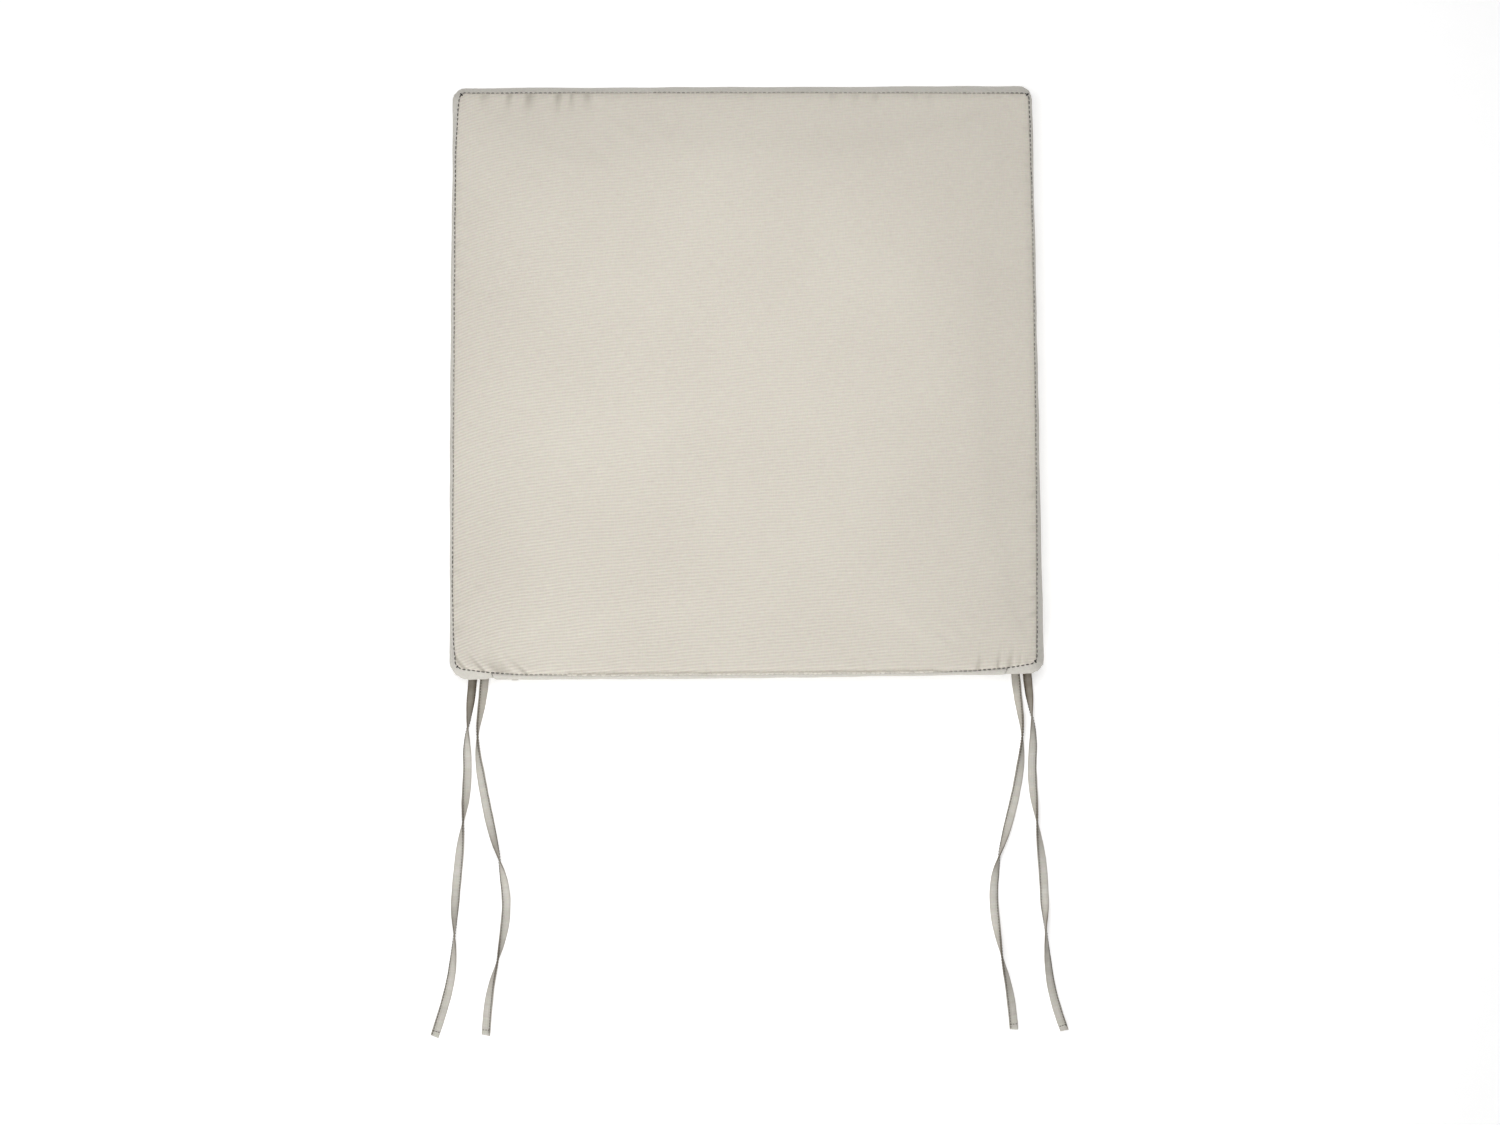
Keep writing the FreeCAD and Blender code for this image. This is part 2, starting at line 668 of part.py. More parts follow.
for word, side, thread in (("upper", 1, top_thread), ("lower", -1, bottom_thread)):
    stitches = stitch_row(f"zip_stitches_{word}", side)
    cloth = strip(f"zip_panel_{word}", side)
    pieces.append(cut(f"zip_panel_{word}", cloth, thread, stitches))
    pieces.append(stitches)
    pieces.append(zip_tape(f"zip_tape_{word}", side))
    pieces.append(zip_coil(f"zip_coil_{word}", side))
for word, x in (("left", f"{ZIP_LEFT} - thread"), ("right", f"{ZIP_LEFT} + {ZIP_LENGTH}")):
    slice_sizes = ("thread", "seam_inset + 2 * tie_corner", TOP_LEVEL)
    place = (x, f"{TIE_Y} - tie_corner", "0")
    slot = box(f"join_{word}_slice", *slice_sizes, *place)
    seam = common(f"join_{word}_wall", wall, slot)
    pieces.append(cut(f"join_thread_{word}", seam, top_thread, bottom_thread))
for name, points in TIE_ROUTES.items():
    pieces.append(tie(name, points, cover, bottom_thread))

doc.recompute()
for thing in doc.Objects:
    if "Invalid" in thing.State or "Error" in thing.State:
        raise RuntimeError(f"{thing.Name} failed: {thing.State}")
for piece in pieces:
    piece.Label = piece.Name
    shape = piece.Shape
    if shape.isNull() or not shape.isValid() or not shape.Solids:
        raise RuntimeError(f"{piece.Name} has no valid solid")

os.makedirs("parts", exist_ok=True)
for piece in pieces:
    piece.Shape.exportStep(f"parts/{piece.Label}.step")
    print(piece.Label, len(piece.Shape.Solids), "solid,", round(piece.Shape.Volume, 1), "mm3")
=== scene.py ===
"""The looks of a boxed chair seat pad: sewn cover, zip, stitches and four tie bands round a foam block.

Lengths are in metres and +Z is up. The pad lies on its flat underside at z = 0, with the zip and the ties on
its -Y side. A side of the pad runs from corner to corner, and a fraction from 0 to 1 gives a place along it.
"""

import math

import bmesh
import bpy
import numpy as np
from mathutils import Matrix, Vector


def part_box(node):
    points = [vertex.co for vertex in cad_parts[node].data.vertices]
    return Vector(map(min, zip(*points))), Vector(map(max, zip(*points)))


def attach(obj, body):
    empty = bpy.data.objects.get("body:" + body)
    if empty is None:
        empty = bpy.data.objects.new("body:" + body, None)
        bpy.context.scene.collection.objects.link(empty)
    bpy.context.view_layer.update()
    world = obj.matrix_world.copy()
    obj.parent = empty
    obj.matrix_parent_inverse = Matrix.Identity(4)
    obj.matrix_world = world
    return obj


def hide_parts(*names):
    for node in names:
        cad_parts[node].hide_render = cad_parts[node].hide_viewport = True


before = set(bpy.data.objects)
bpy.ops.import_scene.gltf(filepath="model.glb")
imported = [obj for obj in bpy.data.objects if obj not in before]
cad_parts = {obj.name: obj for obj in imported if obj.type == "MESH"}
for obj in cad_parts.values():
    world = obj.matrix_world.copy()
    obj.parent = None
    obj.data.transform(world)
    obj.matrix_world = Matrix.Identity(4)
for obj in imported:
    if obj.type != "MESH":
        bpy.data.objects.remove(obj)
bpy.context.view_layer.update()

MM = 0.001
RIGHT, FRONT, UP = np.array([1.0, 0.0, 0.0]), np.array([0.0, -1.0, 0.0]), np.array([0.0, 0.0, 1.0])

# Places that the model gives.
border_low, border_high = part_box("wrap_border")
HALF_WIDTH, HALF_DEPTH = border_high.x, border_high.y
LOW_SEAM, HIGH_SEAM = border_low.z, border_high.z
MIDDLE = (LOW_SEAM + HIGH_SEAM) / 2
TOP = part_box("top_panel")[1].z
strip_low, strip_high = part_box("zip_panel_upper")
JOIN_LEFT, JOIN_RIGHT = strip_low.x, strip_high.x
FOLD = strip_low.z - MIDDLE
row_low, row_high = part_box("zip_stitches_upper")
LAND_FACE = (row_low.y + row_high.y) / 2
STITCH_LINE = (row_low.z + row_high.z) / 2 - MIDDLE
LAND_TOP = 2 * STITCH_LINE - FOLD
TAPE_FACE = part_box("zip_tape_upper")[0].y
TAPE_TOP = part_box("zip_tape_upper")[1].z - MIDDLE
COIL_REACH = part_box("zip_coil_upper")[1].z - MIDDLE
COIL_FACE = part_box("zip_coil_upper")[0].y
TIE_HEIGHT = (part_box("tie_left_outer")[0].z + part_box("tie_left_outer")[1].z) / 2

# The cover.
CLOTH = 0.9 * MM
SEAM_CORNER = 5 * MM
LEFT_TIE_CORNER = 17 * MM
OTHER_CORNER = 12 * MM
CORNER_ZONE = 30 * MM
ROLL_RUN = 6.5 * MM
ROLL_RISE = 2.0 * MM
CROWN_RUN = 130 * MM
CROWN_TOP = TOP + 3.2 * MM
DITCH = 0.3 * MM
SOLE_RUN = 13 * MM
SETTLE_FRAMES = 18
SETTLE_MOST = 0.6 * MM

# The stitches' pitches.
SEAM_PITCH = 4.0 * MM
TIE_PITCH = 2.4 * MM
ZIP_PITCH = 3.2 * MM

# The ties.
BAND_WIDTH = 7.5 * MM
BAND_THICK = 1.4 * MM

# How far the corners of both seams lie inside the border's fullest part: across and along the depth. The
# corners run from the left of the tie side, to the right of it, and on round the far side.
CORNER_INSETS = np.array([(9.1, 9.8), (9.1, 11.9), (11.0, 10.2), (11.5, 8.2)]) * MM
CORNER_SIDES = np.array([(-1, -1), (1, -1), (1, 1), (-1, 1)])
# How far the middle of each side stands out past its corners, and how squarely: tie, right, far, left.
BOWS = np.array([7.1, 2.0, 0.5, 3.6]) * MM
BOW_POWERS = (7, 2.5, 2, 9)


def smooth(x):
    """0 below 0 and 1 above 1, with a level start and end."""
    x = np.clip(x, 0, 1)
    return x * x * (3 - 2 * x)


def wander(x, seed, *waves):
    """An uneven wave from about -1 to 1: sines of the given wavelengths added up.

    Their phases come from the seed, and each wave's length varies slowly.
    """
    phases = np.random.default_rng(seed).uniform(0, 2 * math.pi, (len(waves), 2))
    total = sum(
        np.sin(2 * math.pi * x / wave + first + 1.7 * np.sin(2 * math.pi * x / (4.3 * wave) + second))
        for wave, (first, second) in zip(waves, phases)
    )
    return total / len(waves)


def unit(ways):
    """Directions brought to a length of 1."""
    return ways / np.linalg.norm(ways, axis=-1, keepdims=True)


def heading(line):
    """The direction of a line at each of its points."""
    return unit(np.gradient(line, axis=0))


def travelled(line):
    """How far along a line each of its points is."""
    return np.concatenate([[0], np.cumsum(np.linalg.norm(np.diff(line, axis=0), axis=1))])


def taken(at, travel, rows):
    """Rows of numbers that are known at some distances, taken at others."""
    return np.stack([np.interp(at, travel, column) for column in rows.T], axis=-1)


def bow(fraction, power):
    """How far a side stands out along its length: 0 at its corners and 1 in the middle."""
    return 1 - np.abs(2 * fraction - 1) ** power


def crown(distance):
    """The slow swell towards the pad's middle: 0 at the seam and 1 past the crown's run."""
    return 1 - (1 - np.clip(distance / CROWN_RUN, 0, 1)) ** 2.4


def rounded(x, y, u, v, radius):
    """Bends the square corners of an outline to arcs.

    In the square of the radius at a corner, a point goes where the map from a square to a quarter disc
    puts it: each of its distances from the square's inner corner shrinks by the root of 1 less half the
    square of the other one.
    """
    side_x, side_y = np.where(u < 0.5, -1.0, 1.0), np.where(v < 0.5, -1.0, 1.0)
    s = np.clip(1 - np.minimum(u, 1 - u) * 2 * HALF_WIDTH / radius, 0, 1)
    t = np.clip(1 - np.minimum(v, 1 - v) * 2 * HALF_DEPTH / radius, 0, 1)
    pull_x = radius * s * (1 - np.sqrt(1 - t**2 / 2))
    pull_y = radius * t * (1 - np.sqrt(1 - s**2 / 2))
    return x - side_x * pull_x, y - side_y * pull_y


def seam_plan(u, v):
    """A point of the plan inside the seams. u runs across from 0 to 1 and v from the tie side to the far one.

    The four corners are joined by straight sides, each side's bow is added with a weight that falls to
    nothing at the side across from it, and the corners are rounded.
    """
    corners = CORNER_SIDES * (np.array([HALF_WIDTH, HALF_DEPTH]) - CORNER_INSETS)
    weights = ((1 - u) * (1 - v), u * (1 - v), u * v, (1 - u) * v)
    x = sum(w * c[0] for w, c in zip(weights, corners))
    y = sum(w * c[1] for w, c in zip(weights, corners))
    y = y - BOWS[0] * bow(u, BOW_POWERS[0]) * (1 - v) + BOWS[2] * bow(u, BOW_POWERS[2]) * v
    x = x + BOWS[1] * bow(v, BOW_POWERS[1]) * u - BOWS[3] * bow(v, BOW_POWERS[3]) * (1 - u)
    return rounded(x, y, u, v, SEAM_CORNER)


def full_plan(u, v):
    """The same for the border's fullest part: a rectangle with round corners.

    The right side leans in towards the far corner, the left one in its last half, and the tie side comes
    in towards its right end.
    """
    x, y = (2 * u - 1) * HALF_WIDTH, (2 * v - 1) * HALF_DEPTH
    left_in = 1.3 * MM + 1.6 * MM * smooth((v - 0.5) / 0.45)
    right_in = 5.4 * MM * v + 0.7 * MM
    x = x + left_in * (1 - u) - right_in * u
    tie_in = 3.4 * MM * np.clip((x + 80 * MM) / (325 * MM), 0, 1) ** 1.6 - 0.5 * MM
    y = y + tie_in * (1 - v) + 0.4 * MM * v
    radius = np.where((v < 0.5) & (u < 0.5), LEFT_TIE_CORNER, OTHER_CORNER)
    return rounded(x, y, u, v, radius)


def to_seam(fraction, half):
    """The fraction along a seam's side that lies straight above a fraction along the fullest outline's side.

    The seam's side is shorter, and the difference is taken up in the corner zones at its two ends.
    """
    inset = CORNER_INSETS.mean()
    start = CORNER_ZONE / (2 * half)
    seam_start = (CORNER_ZONE - inset) / (2 * (half - inset))
    return np.interp(fraction, [0, start, 1 - start, 1], [0, seam_start, 1 - seam_start, 1])


def round_the_pad(turn):
    """The fractions u and v of a place on the edge. turn goes from 0 to 4, one for each side in order."""
    side = np.floor(turn).astype(int) % 4
    along = turn - np.floor(turn)
    sides = [side == 0, side == 1, side == 2]
    u = np.select(sides, [along, np.ones_like(along), 1 - along], 0.0)
    v = np.select(sides, [np.zeros_like(along), along, np.ones_like(along)], 1 - along)
    return u, v


def seam_line(turn):
    """The seam's plan at places round the pad that lie straight inside the fullest outline's."""
    u, v = round_the_pad(turn)
    return np.stack(seam_plan(to_seam(u, HALF_WIDTH), to_seam(v, HALF_DEPTH)), axis=-1)


def full_line(turn):
    """The fullest outline's plan at places round the pad."""
    return np.stack(full_plan(*round_the_pad(turn)), axis=-1)


# ---------------------------------------------------------------- meshes


def coordinates(mesh):
    """A mesh's points as an array."""
    flat = np.empty(len(mesh.vertices) * 3)
    mesh.vertices.foreach_get("co", flat)
    return flat.reshape(-1, 3)


def grid_piece(name, points, flat, around=False):
    """A new object whose faces join neighbours in a grid of points.

    flat is where each point lies on the flat cloth, in metres, for the material. With around, the last
    column is joined to the first, and flat has one column more than points.
    """
    rows, columns = points.shape[:2]
    wide = columns + 1 if around else columns
    place = np.arange(rows * wide).reshape(rows, wide)
    neighbours = [place[:-1, :-1], place[:-1, 1:], place[1:, 1:], place[1:, :-1]]
    corners = np.stack(neighbours, axis=-1).reshape(-1, 4)
    vertices = corners // wide * columns + corners % wide % columns
    mesh = bpy.data.meshes.new(name)
    mesh.from_pydata(points.reshape(-1, 3).tolist(), [], vertices.tolist())
    layer = mesh.uv_layers.new(name="flat")
    layer.data.foreach_set("uv", flat.reshape(-1, 2)[corners.ravel()].ravel())
    return finished(name, mesh)


def finished(name, mesh):
    """Puts a mesh into the scene as an object with smooth faces."""
    mesh.polygons.foreach_set("use_smooth", np.ones(len(mesh.polygons), bool))
    mesh.update()
    piece = bpy.data.objects.new(name, mesh)
    bpy.context.scene.collection.objects.link(piece)
    return piece


def facing(piece, direction=None):
    """Turns a piece's faces over if on the whole they look away from a direction.

    With no direction, they are to look away from the pad's upright middle line.
    """
    mesh = piece.data
    normals, centres = np.empty(len(mesh.polygons) * 3), np.empty(len(mesh.polygons) * 3)
    mesh.polygons.foreach_get("normal", normals)
    mesh.polygons.foreach_get("center", centres)
    outward = centres.reshape(-1, 3) * (1 - UP) if direction is None else direction
    if (normals.reshape(-1, 3) * outward).sum() < 0:
        mesh.flip_normals()


def thicken(piece, thickness):
    """Gives a cloth its thickness, on the side that its faces look away from."""
    solid = piece.modifiers.new("thickness", "SOLIDIFY")
    solid.thickness = thickness
    solid.offset = -1


def dress(piece, finish, slot, *nodes):
    """A piece's material, the record's slot for it, which is not used, and the nodes that it stands for. It
    rides on the pad.
    """
    piece.data.materials.append(finish)
    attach(piece, "pad")
    if nodes:
        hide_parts(*nodes)


def number_each(mesh, name, values):
    """Keeps a number for each point of a mesh, for its material."""
    mesh.attributes.new(name, "FLOAT", "POINT").data.foreach_set("value", np.asarray(values, float).ravel())


def strands(name, finish, nodes, centres, along, out, length, thick, tone, bulge=0.35):
    """Short strands of thread in one mesh, one at each centre, which stand for the nodes.

    Each is a tube of six sides along its direction, thinner towards both ends and bowed outwards in its
    middle by bulge times its thickness. tone is a number from 0, dark, to 1, light, for each strand.
    """
    count = len(centres)
    along = unit(np.broadcast_to(along, centres.shape))
    out = unit(out - along * (out * along).sum(1, keepdims=True))
    across = np.cross(along, out)
    stations = np.array([-1, -0.8, 0, 0.8, 1])
    girths = np.array([0.25, 0.85, 1, 0.85, 0.25])
    rise = np.array([-0.9, -0.3, 1, -0.3, -0.9]) * bulge
    angles = np.arange(6) * math.pi / 3
    length = np.broadcast_to(length, count)[:, None, None, None]
    thick = np.broadcast_to(thick, count)[:, None, None, None]
    middle = centres[:, None, None, :] + along[:, None, None, :] * stations[None, :, None, None] * length / 2
    middle = middle + out[:, None, None, :] * rise[None, :, None, None] * thick
    ring = (
        out[:, None, None, :] * np.sin(angles)[None, None, :, None]
        + across[:, None, None, :] * np.cos(angles)[None, None, :, None]
    )
    points = middle + ring * girths[None, :, None, None] * thick / 2
    place = np.arange(count * 30).reshape(count, 5, 6)
    after = np.roll(place, -1, axis=2)
    sides = np.stack([place[:, :-1], after[:, :-1], after[:, 1:], place[:, 1:]], axis=-1).reshape(-1, 4)
    ends = np.concatenate([place[:, 0, ::-1], place[:, -1]])
    mesh = bpy.data.meshes.new(name)
    mesh.from_pydata(points.reshape(-1, 3).tolist(), [], sides.tolist() + ends.tolist())
    number_each(mesh, "tone", np.repeat(tone, 30))
    piece = finished(name, mesh)
    clean(piece)
    dress(piece, finish, "seam_thread", *nodes)
    return piece


def clean(piece):
    """Merges the points of a closed mesh that coincide, and turns all its faces outwards."""
    work = bmesh.new()
    work.from_mesh(piece.data)
    bmesh.ops.remove_doubles(work, verts=work.verts, dist=1e-6)
    bmesh.ops.recalc_face_normals(work, faces=work.faces)
    work.to_mesh(piece.data)
    work.free()


# ---------------------------------------------------------------- materials


class Field:
    """A number that varies over a surface. Python's operators on it add Math nodes."""

    def __init__(self, finish, socket):
        self.finish = finish
        self.socket = socket

    def math(self, operation, *values):
        inputs = dict(enumerate((self, *values)))
        return self.finish.add("ShaderNodeMath", {"operation": operation}, inputs)

    def __add__(self, other):
        return self.math("ADD", other)

    __radd__ = __add__

    def __mul__(self, other):
        return self.math("MULTIPLY", other)

    __rmul__ = __mul__

    def __sub__(self, other):
        return self.math("SUBTRACT", other)

    def __rsub__(self, other):
        return -self + other

    def __truediv__(self, other):
        return self.math("DIVIDE", other)

    def __neg__(self):
        return self * -1

    def __rpow__(self, other):
        return self.finish.add("ShaderNodeMath", {"operation": "POWER"}, {0: other, 1: self})

    def __abs__(self):
        return self.math("ABSOLUTE")

    def sine(self):
        return self.math("SINE")

    def above(self, other):
        return self.math("GREATER_THAN", other)


class Finish:
    """A material: a shader with constant settings, and the nodes that vary its colour, gloss and relief."""

    def __init__(self, name, **constants):
        self.material = bpy.data.materials.new(name)
        self.material.use_nodes = True
        self.tree = self.material.node_tree
        self.shader = next(n for n in self.tree.nodes if n.type == "BSDF_PRINCIPLED")
        for socket, value in constants.items():
            self.shader.inputs[socket.replace("_", " ")].default_value = value

    def add(self, kind, settings=None, inputs=None, output=0):
        """A node with its settings, then the values or links of its sockets. Gives one of its outputs."""
        node = self.tree.nodes.new(kind)
        for name, value in (settings or {}).items():
            setattr(node, name, value)
        for key, value in (inputs or {}).items():
            if isinstance(value, Field):
                self.tree.links.new(value.socket, node.inputs[key])
            else:
                node.inputs[key].default_value = value
        return Field(self, node.outputs[output])

    def feed(self, socket, field):
        self.tree.links.new(field.socket, self.shader.inputs[socket])

    def flat_place(self):
        """Where a point lies on the flat cloth, as two numbers in metres."""
        place = self.add("ShaderNodeUVMap", {"uv_map": "flat"})
        parts = self.add("ShaderNodeSeparateXYZ", inputs={0: place})
        return parts, Field(self, parts.socket.node.outputs[1])

    def object_place(self):
        """A point's three coordinates, in metres."""
        place = self.add("ShaderNodeTexCoord", output="Object")
        parts = self.add("ShaderNodeSeparateXYZ", inputs={0: place})
        return [Field(self, parts.socket.node.outputs[i]) for i in range(3)]

    def noise(self, x, y, z=0.0, detail=2.0, output=0):
        """Smooth noise from 0 to 1 with a grain of one unit of x, y and z."""
        place = self.add("ShaderNodeCombineXYZ", inputs={0: x, 1: y, 2: z})
        inputs = {"Vector": place, "Scale": 1.0, "Detail": detail}
        return self.add("ShaderNodeTexNoise", inputs=inputs, output=output)

    def attribute(self, name):
        return self.add("ShaderNodeAttribute", {"attribute_name": name}, output="Fac")

    def mix(self, factor, dark, light):
        """The colour between two, each a tuple or a colour field."""
        return self.add("ShaderNodeMix", {"data_type": "RGBA"}, {0: factor, 6: dark, 7: light}, output=2)

    def relief(self, height, depth):
        """Bumps of a depth in metres where the height is 1."""
        inputs = {"Height": height, "Distance": depth, "Strength": 1.0}
        self.feed("Normal", self.add("ShaderNodeBump", inputs=inputs))


def tint(red, green, blue):
    """A colour from the three numbers of a screen, each from 0 to 255."""
    shares = np.array([red, green, blue]) / 255
    return (*(((shares + 0.055) / 1.055) ** 2.4), 1.0)


WEAVE = 0.55 * MM
RIB = 2.7 * MM


def woven(name, dark, light, ribbed=False, shade=None):
    """Plain-weave cloth: each crossing is a small pillow, and threads vary along their length both ways.

    The pillow's height is the product of two sines a thread apart. Long thin noise along each thread
    direction gives uneven threads, and slow noise gives uneven dye. On ribbed cloth every few threads a
    faint rib runs across, rising a little to the right and more beside the left edge; it is strongest by
    the tie side and on the left.
    """
    finish = Finish(name, Roughness=0.88, Sheen_Weight=0.12, Sheen_Roughness=0.5)
    finish.shader.inputs["Specular IOR Level"].default_value = 0.25
    across, along = finish.flat_place()
    first = (across * (math.pi / WEAVE)).sine()
    second = (along * (math.pi / WEAVE)).sine()
    pillow = abs(first * second)
    over = (first * second).above(0)
    weft = finish.noise(across * 120, along * 1100)
    warp = finish.noise(across * 1100, along * 120)
    dye = finish.noise(across * 9, along * 9, 3.0, 1.0)
    tone = 0.5 + (weft - 0.5) * 0.65 + (warp - 0.5) * 0.45 + (dye - 0.5) * 0.35
    tone = tone + (over - 0.5) * 0.12 + (pillow - 0.4) * 0.25
    height = pillow * 0.6 + weft * 0.4 + warp * 0.3
    if ribbed:
        bend = finish.noise(across * 16, along * 16, 8.0, 1.0)
        patches = finish.noise(across * 100, along * 240, 5.0)
        edge = (math.e ** (-(across + 0.243) / 0.035)) * (14 * MM)
        line = along - across * 0.07 + edge + bend * (5 * MM)
        strength = (0.8 - across * 1.3 - along * 1.7) * patches
        rib = (line * (2 * math.pi / RIB)).sine() * strength
        tone = tone + rib * 0.36
        height = height + rib * 0.25
    flecks = finish.noise(across * 520, along * 760, 1.0, output="Color")
    colour = finish.mix(0.09, finish.mix(tone, dark, light), flecks)
    # Painted shade: each point's shade number mixes in the shade colour.
    if shade:
        colour = finish.mix(finish.attribute("shade"), colour, shade)
    finish.feed("Base Color", colour)
    finish.feed("Roughness", 0.82 + pillow * 0.1)
    finish.relief(height, 0.14 * MM)
    return finish.material


def spun(name, dark, light):
    """Sewing thread: fine slanting plies, dark or light by each strand's own tone."""
    finish = Finish(name, Roughness=0.7, Sheen_Weight=0.1)
    x, y, z = finish.object_place()
    plies = ((x + y + z) * (2 * math.pi / (0.5 * MM))).sine()
    tone = finish.attribute("tone") + plies * 0.06
    finish.feed("Base Color", finish.mix(tone, dark, light))
    finish.relief(plies, 0.05 * MM)
    return finish.material


def tape_weave(name, dark, light):
    """Zip tape: a herringbone that turns each few threads across its width."""
    finish = Finish(name, Roughness=0.8, Sheen_Weight=0.1)
    x, _, z = finish.object_place()
    zigzag = abs((z * (math.pi / (1.4 * MM))).sine()) * (0.7 * MM)
    twill = ((x + zigzag) * (2 * math.pi / (0.8 * MM))).sine()
    finish.feed("Base Color", finish.mix(0.5 + twill * 0.4, dark, light))
    finish.relief(twill, 0.08 * MM)
    return finish.material


def drawn_coil(name, dark, light):
    """Polyester coil: smooth, slightly uneven in colour along the zip."""
    finish = Finish(name, Roughness=0.42)
    x, y, z = finish.object_place()
    uneven = finish.noise(x * 220, y * 900, z * 900)
    finish.feed("Base Color", finish.mix(uneven, dark, light))
    finish.feed("Roughness", 0.35 + uneven * 0.2)
    return finish.material


def enamelled(name, dark, light):
    """Enamelled zinc: a thin glossy coat with an orange-peel surface."""
    finish = Finish(name, Roughness=0.35, Coat_Weight=0.6, Coat_Roughness=0.15)
    x, y, z = finish.object_place()
    peel = finish.noise(x * 1500, y * 1500, z * 1500)
    wear = finish.noise(x * 260, y * 260, z * 260, 4.0)
    finish.feed("Base Color", finish.mix(wear, dark, light))
    finish.feed("Roughness", 0.28 + wear * 0.2)
    finish.relief(peel, 0.03 * MM)
    return finish.material


def cut_foam(name, dark, light):
    """Open-cell foam: round pores of about a millimetre."""
    finish = Finish(name, Roughness=0.95)
    x, y, z = finish.object_place()
    place = finish.add("ShaderNodeCombineXYZ", inputs={0: x * 900, 1: y * 900, 2: z * 900})
    pores = finish.add("ShaderNodeTexVoronoi", inputs={"Vector": place, "Scale": 1.0})
    finish.feed("Base Color", finish.mix(pores, dark, light))
    finish.relief(pores, 0.3 * MM)
    return finish.material


# The cover's shade colour is painted shade, which darkens the top panel's pucker creases.
COVER = woven("cover_cloth", tint(208, 199, 187), tint(236, 231, 217), ribbed=True, shade=tint(150, 144, 130))
# The border and zip panel cloth is the cover's cloth, without ribs and darker: the darkness is painted shade
# of the pad's sides.
SHADED_BORDER = woven("border_cloth", tint(193, 188, 179), tint(220, 217, 207))
# The tie cloth's shade colour is the brown of the painted shade on the ties.
TIE_CLOTH = woven("tie_cloth", tint(202, 197, 186), tint(238, 235, 226), shade=tint(88, 75, 56))
# The seam thread's near-black end is painted shade: such strands stand for the dark gaps of the top seam and
# the pits at its corners.
THREAD_AND_GAP_SHADE = spun("seam_thread", tint(20, 17, 13), tint(238, 233, 221))
# The tie thread's dark end is partly the thread's colour and partly painted shade of the holes of its
# stitches.
TIE_THREAD_AND_HOLE_SHADE = spun("tie_thread", tint(46, 40, 30), tint(150, 142, 126))
TAPE = tape_weave("zip_tape_weave", tint(178, 171, 157), tint(208, 202, 190))
COIL = drawn_coil("zip_coil_plastic", tint(190, 184, 170), tint(216, 210, 198))
ENAMEL = enamelled("slider_enamel", tint(186, 180, 167), tint(206, 200, 188))
FOAM = cut_foam("seat_foam", tint(222, 216, 196), tint(240, 236, 220))


# ---------------------------------------------------------------- camera, light and floor


def look(eye, target, lens):
    """The camera at a place, looking at another."""
    data = bpy.data.cameras.new("camera")
    data.lens = lens
    data.sensor_width = 36
    data.clip_end = 20
    camera = bpy.data.objects.new("camera", data)
    camera.location = eye
    camera.rotation_euler = (target - eye).to_track_quat("-Z", "Y").to_euler()
    bpy.context.scene.collection.objects.link(camera)
    bpy.context.scene.camera = camera


def softbox(name, place, target, size, watts):
    """A square soft light at a place, turned to a target."""
    data = bpy.data.lights.new(name, "AREA")
    data.size = size
    data.energy = watts
    lamp = bpy.data.objects.new(name, data)
    lamp.location = place
    lamp.rotation_euler = (target - place).to_track_quat("-Z", "Y").to_euler()
    bpy.context.scene.collection.objects.link(lamp)


def studio():
    """A pale floor that curves up all round like a bowl, a pale sky, and two soft lights."""
    bend = np.linspace(0, math.pi / 2, 25)
    flat_reach, wall = 5.0, 2.5
    reach = np.concatenate([[0, 1, 3], flat_reach + wall * np.sin(bend)])[:, None]
    height = np.concatenate([[0, 0, 0], wall * (1 - np.cos(bend))])[:, None]
    around = np.linspace(0, 2 * math.pi, 96, endpoint=False)[None, :]
    bowl = np.stack([reach * np.cos(around), reach * np.sin(around), height + 0 * around], axis=-1)
    floor = grid_piece("floor", bowl, np.zeros((len(bowl), 97, 2)), around=True)
    clean(floor)
    facing(floor, (0, 0, 1))
    paper = Finish("floor_paper", Roughness=0.9, Emission_Strength=0.43)
    paper.shader.inputs["Emission Color"].default_value = (1, 1, 1, 1)
    x, y, _ = paper.object_place()
    grain = paper.noise(x * 40, y * 40)
    paper.feed("Base Color", paper.mix(grain, (0.90, 0.90, 0.90, 1), (0.92, 0.92, 0.92, 1)))
    floor.data.materials.append(paper.material)
    world = bpy.data.worlds.new("sky")
    world.use_nodes = True
    world.node_tree.nodes["Background"].inputs["Color"].default_value = (1, 1, 1, 1)
    world.node_tree.nodes["Background"].inputs["Strength"].default_value = 0.27
    bpy.context.scene.world = world
    softbox("main_light", Vector((-0.05, 0.02, 0.95)), Vector((-0.03, 0.02, 0)), 0.45, 5.1)
    softbox("side_light", Vector((-0.55, -1.7, 0.6)), Vector((0, -0.1, 0)), 0.7, 12.0)
    bpy.context.scene.view_settings.view_transform = "Standard"


SIGHT_HEIGHT = math.radians(87.43)
SIGHT_TURN = math.radians(0.24)
SIGHT_TARGET = Vector((0.0033, -0.1528, 0.025))
SIGHT_DISTANCE = 1.8
back = Vector((
    -math.cos(SIGHT_HEIGHT) * math.sin(SIGHT_TURN),
    -math.cos(SIGHT_HEIGHT) * math.cos(SIGHT_TURN),
    math.sin(SIGHT_HEIGHT),
))
look(SIGHT_TARGET + back * SIGHT_DISTANCE, SIGHT_TARGET, 51.4)
studio()


# ---------------------------------------------------------------- ties

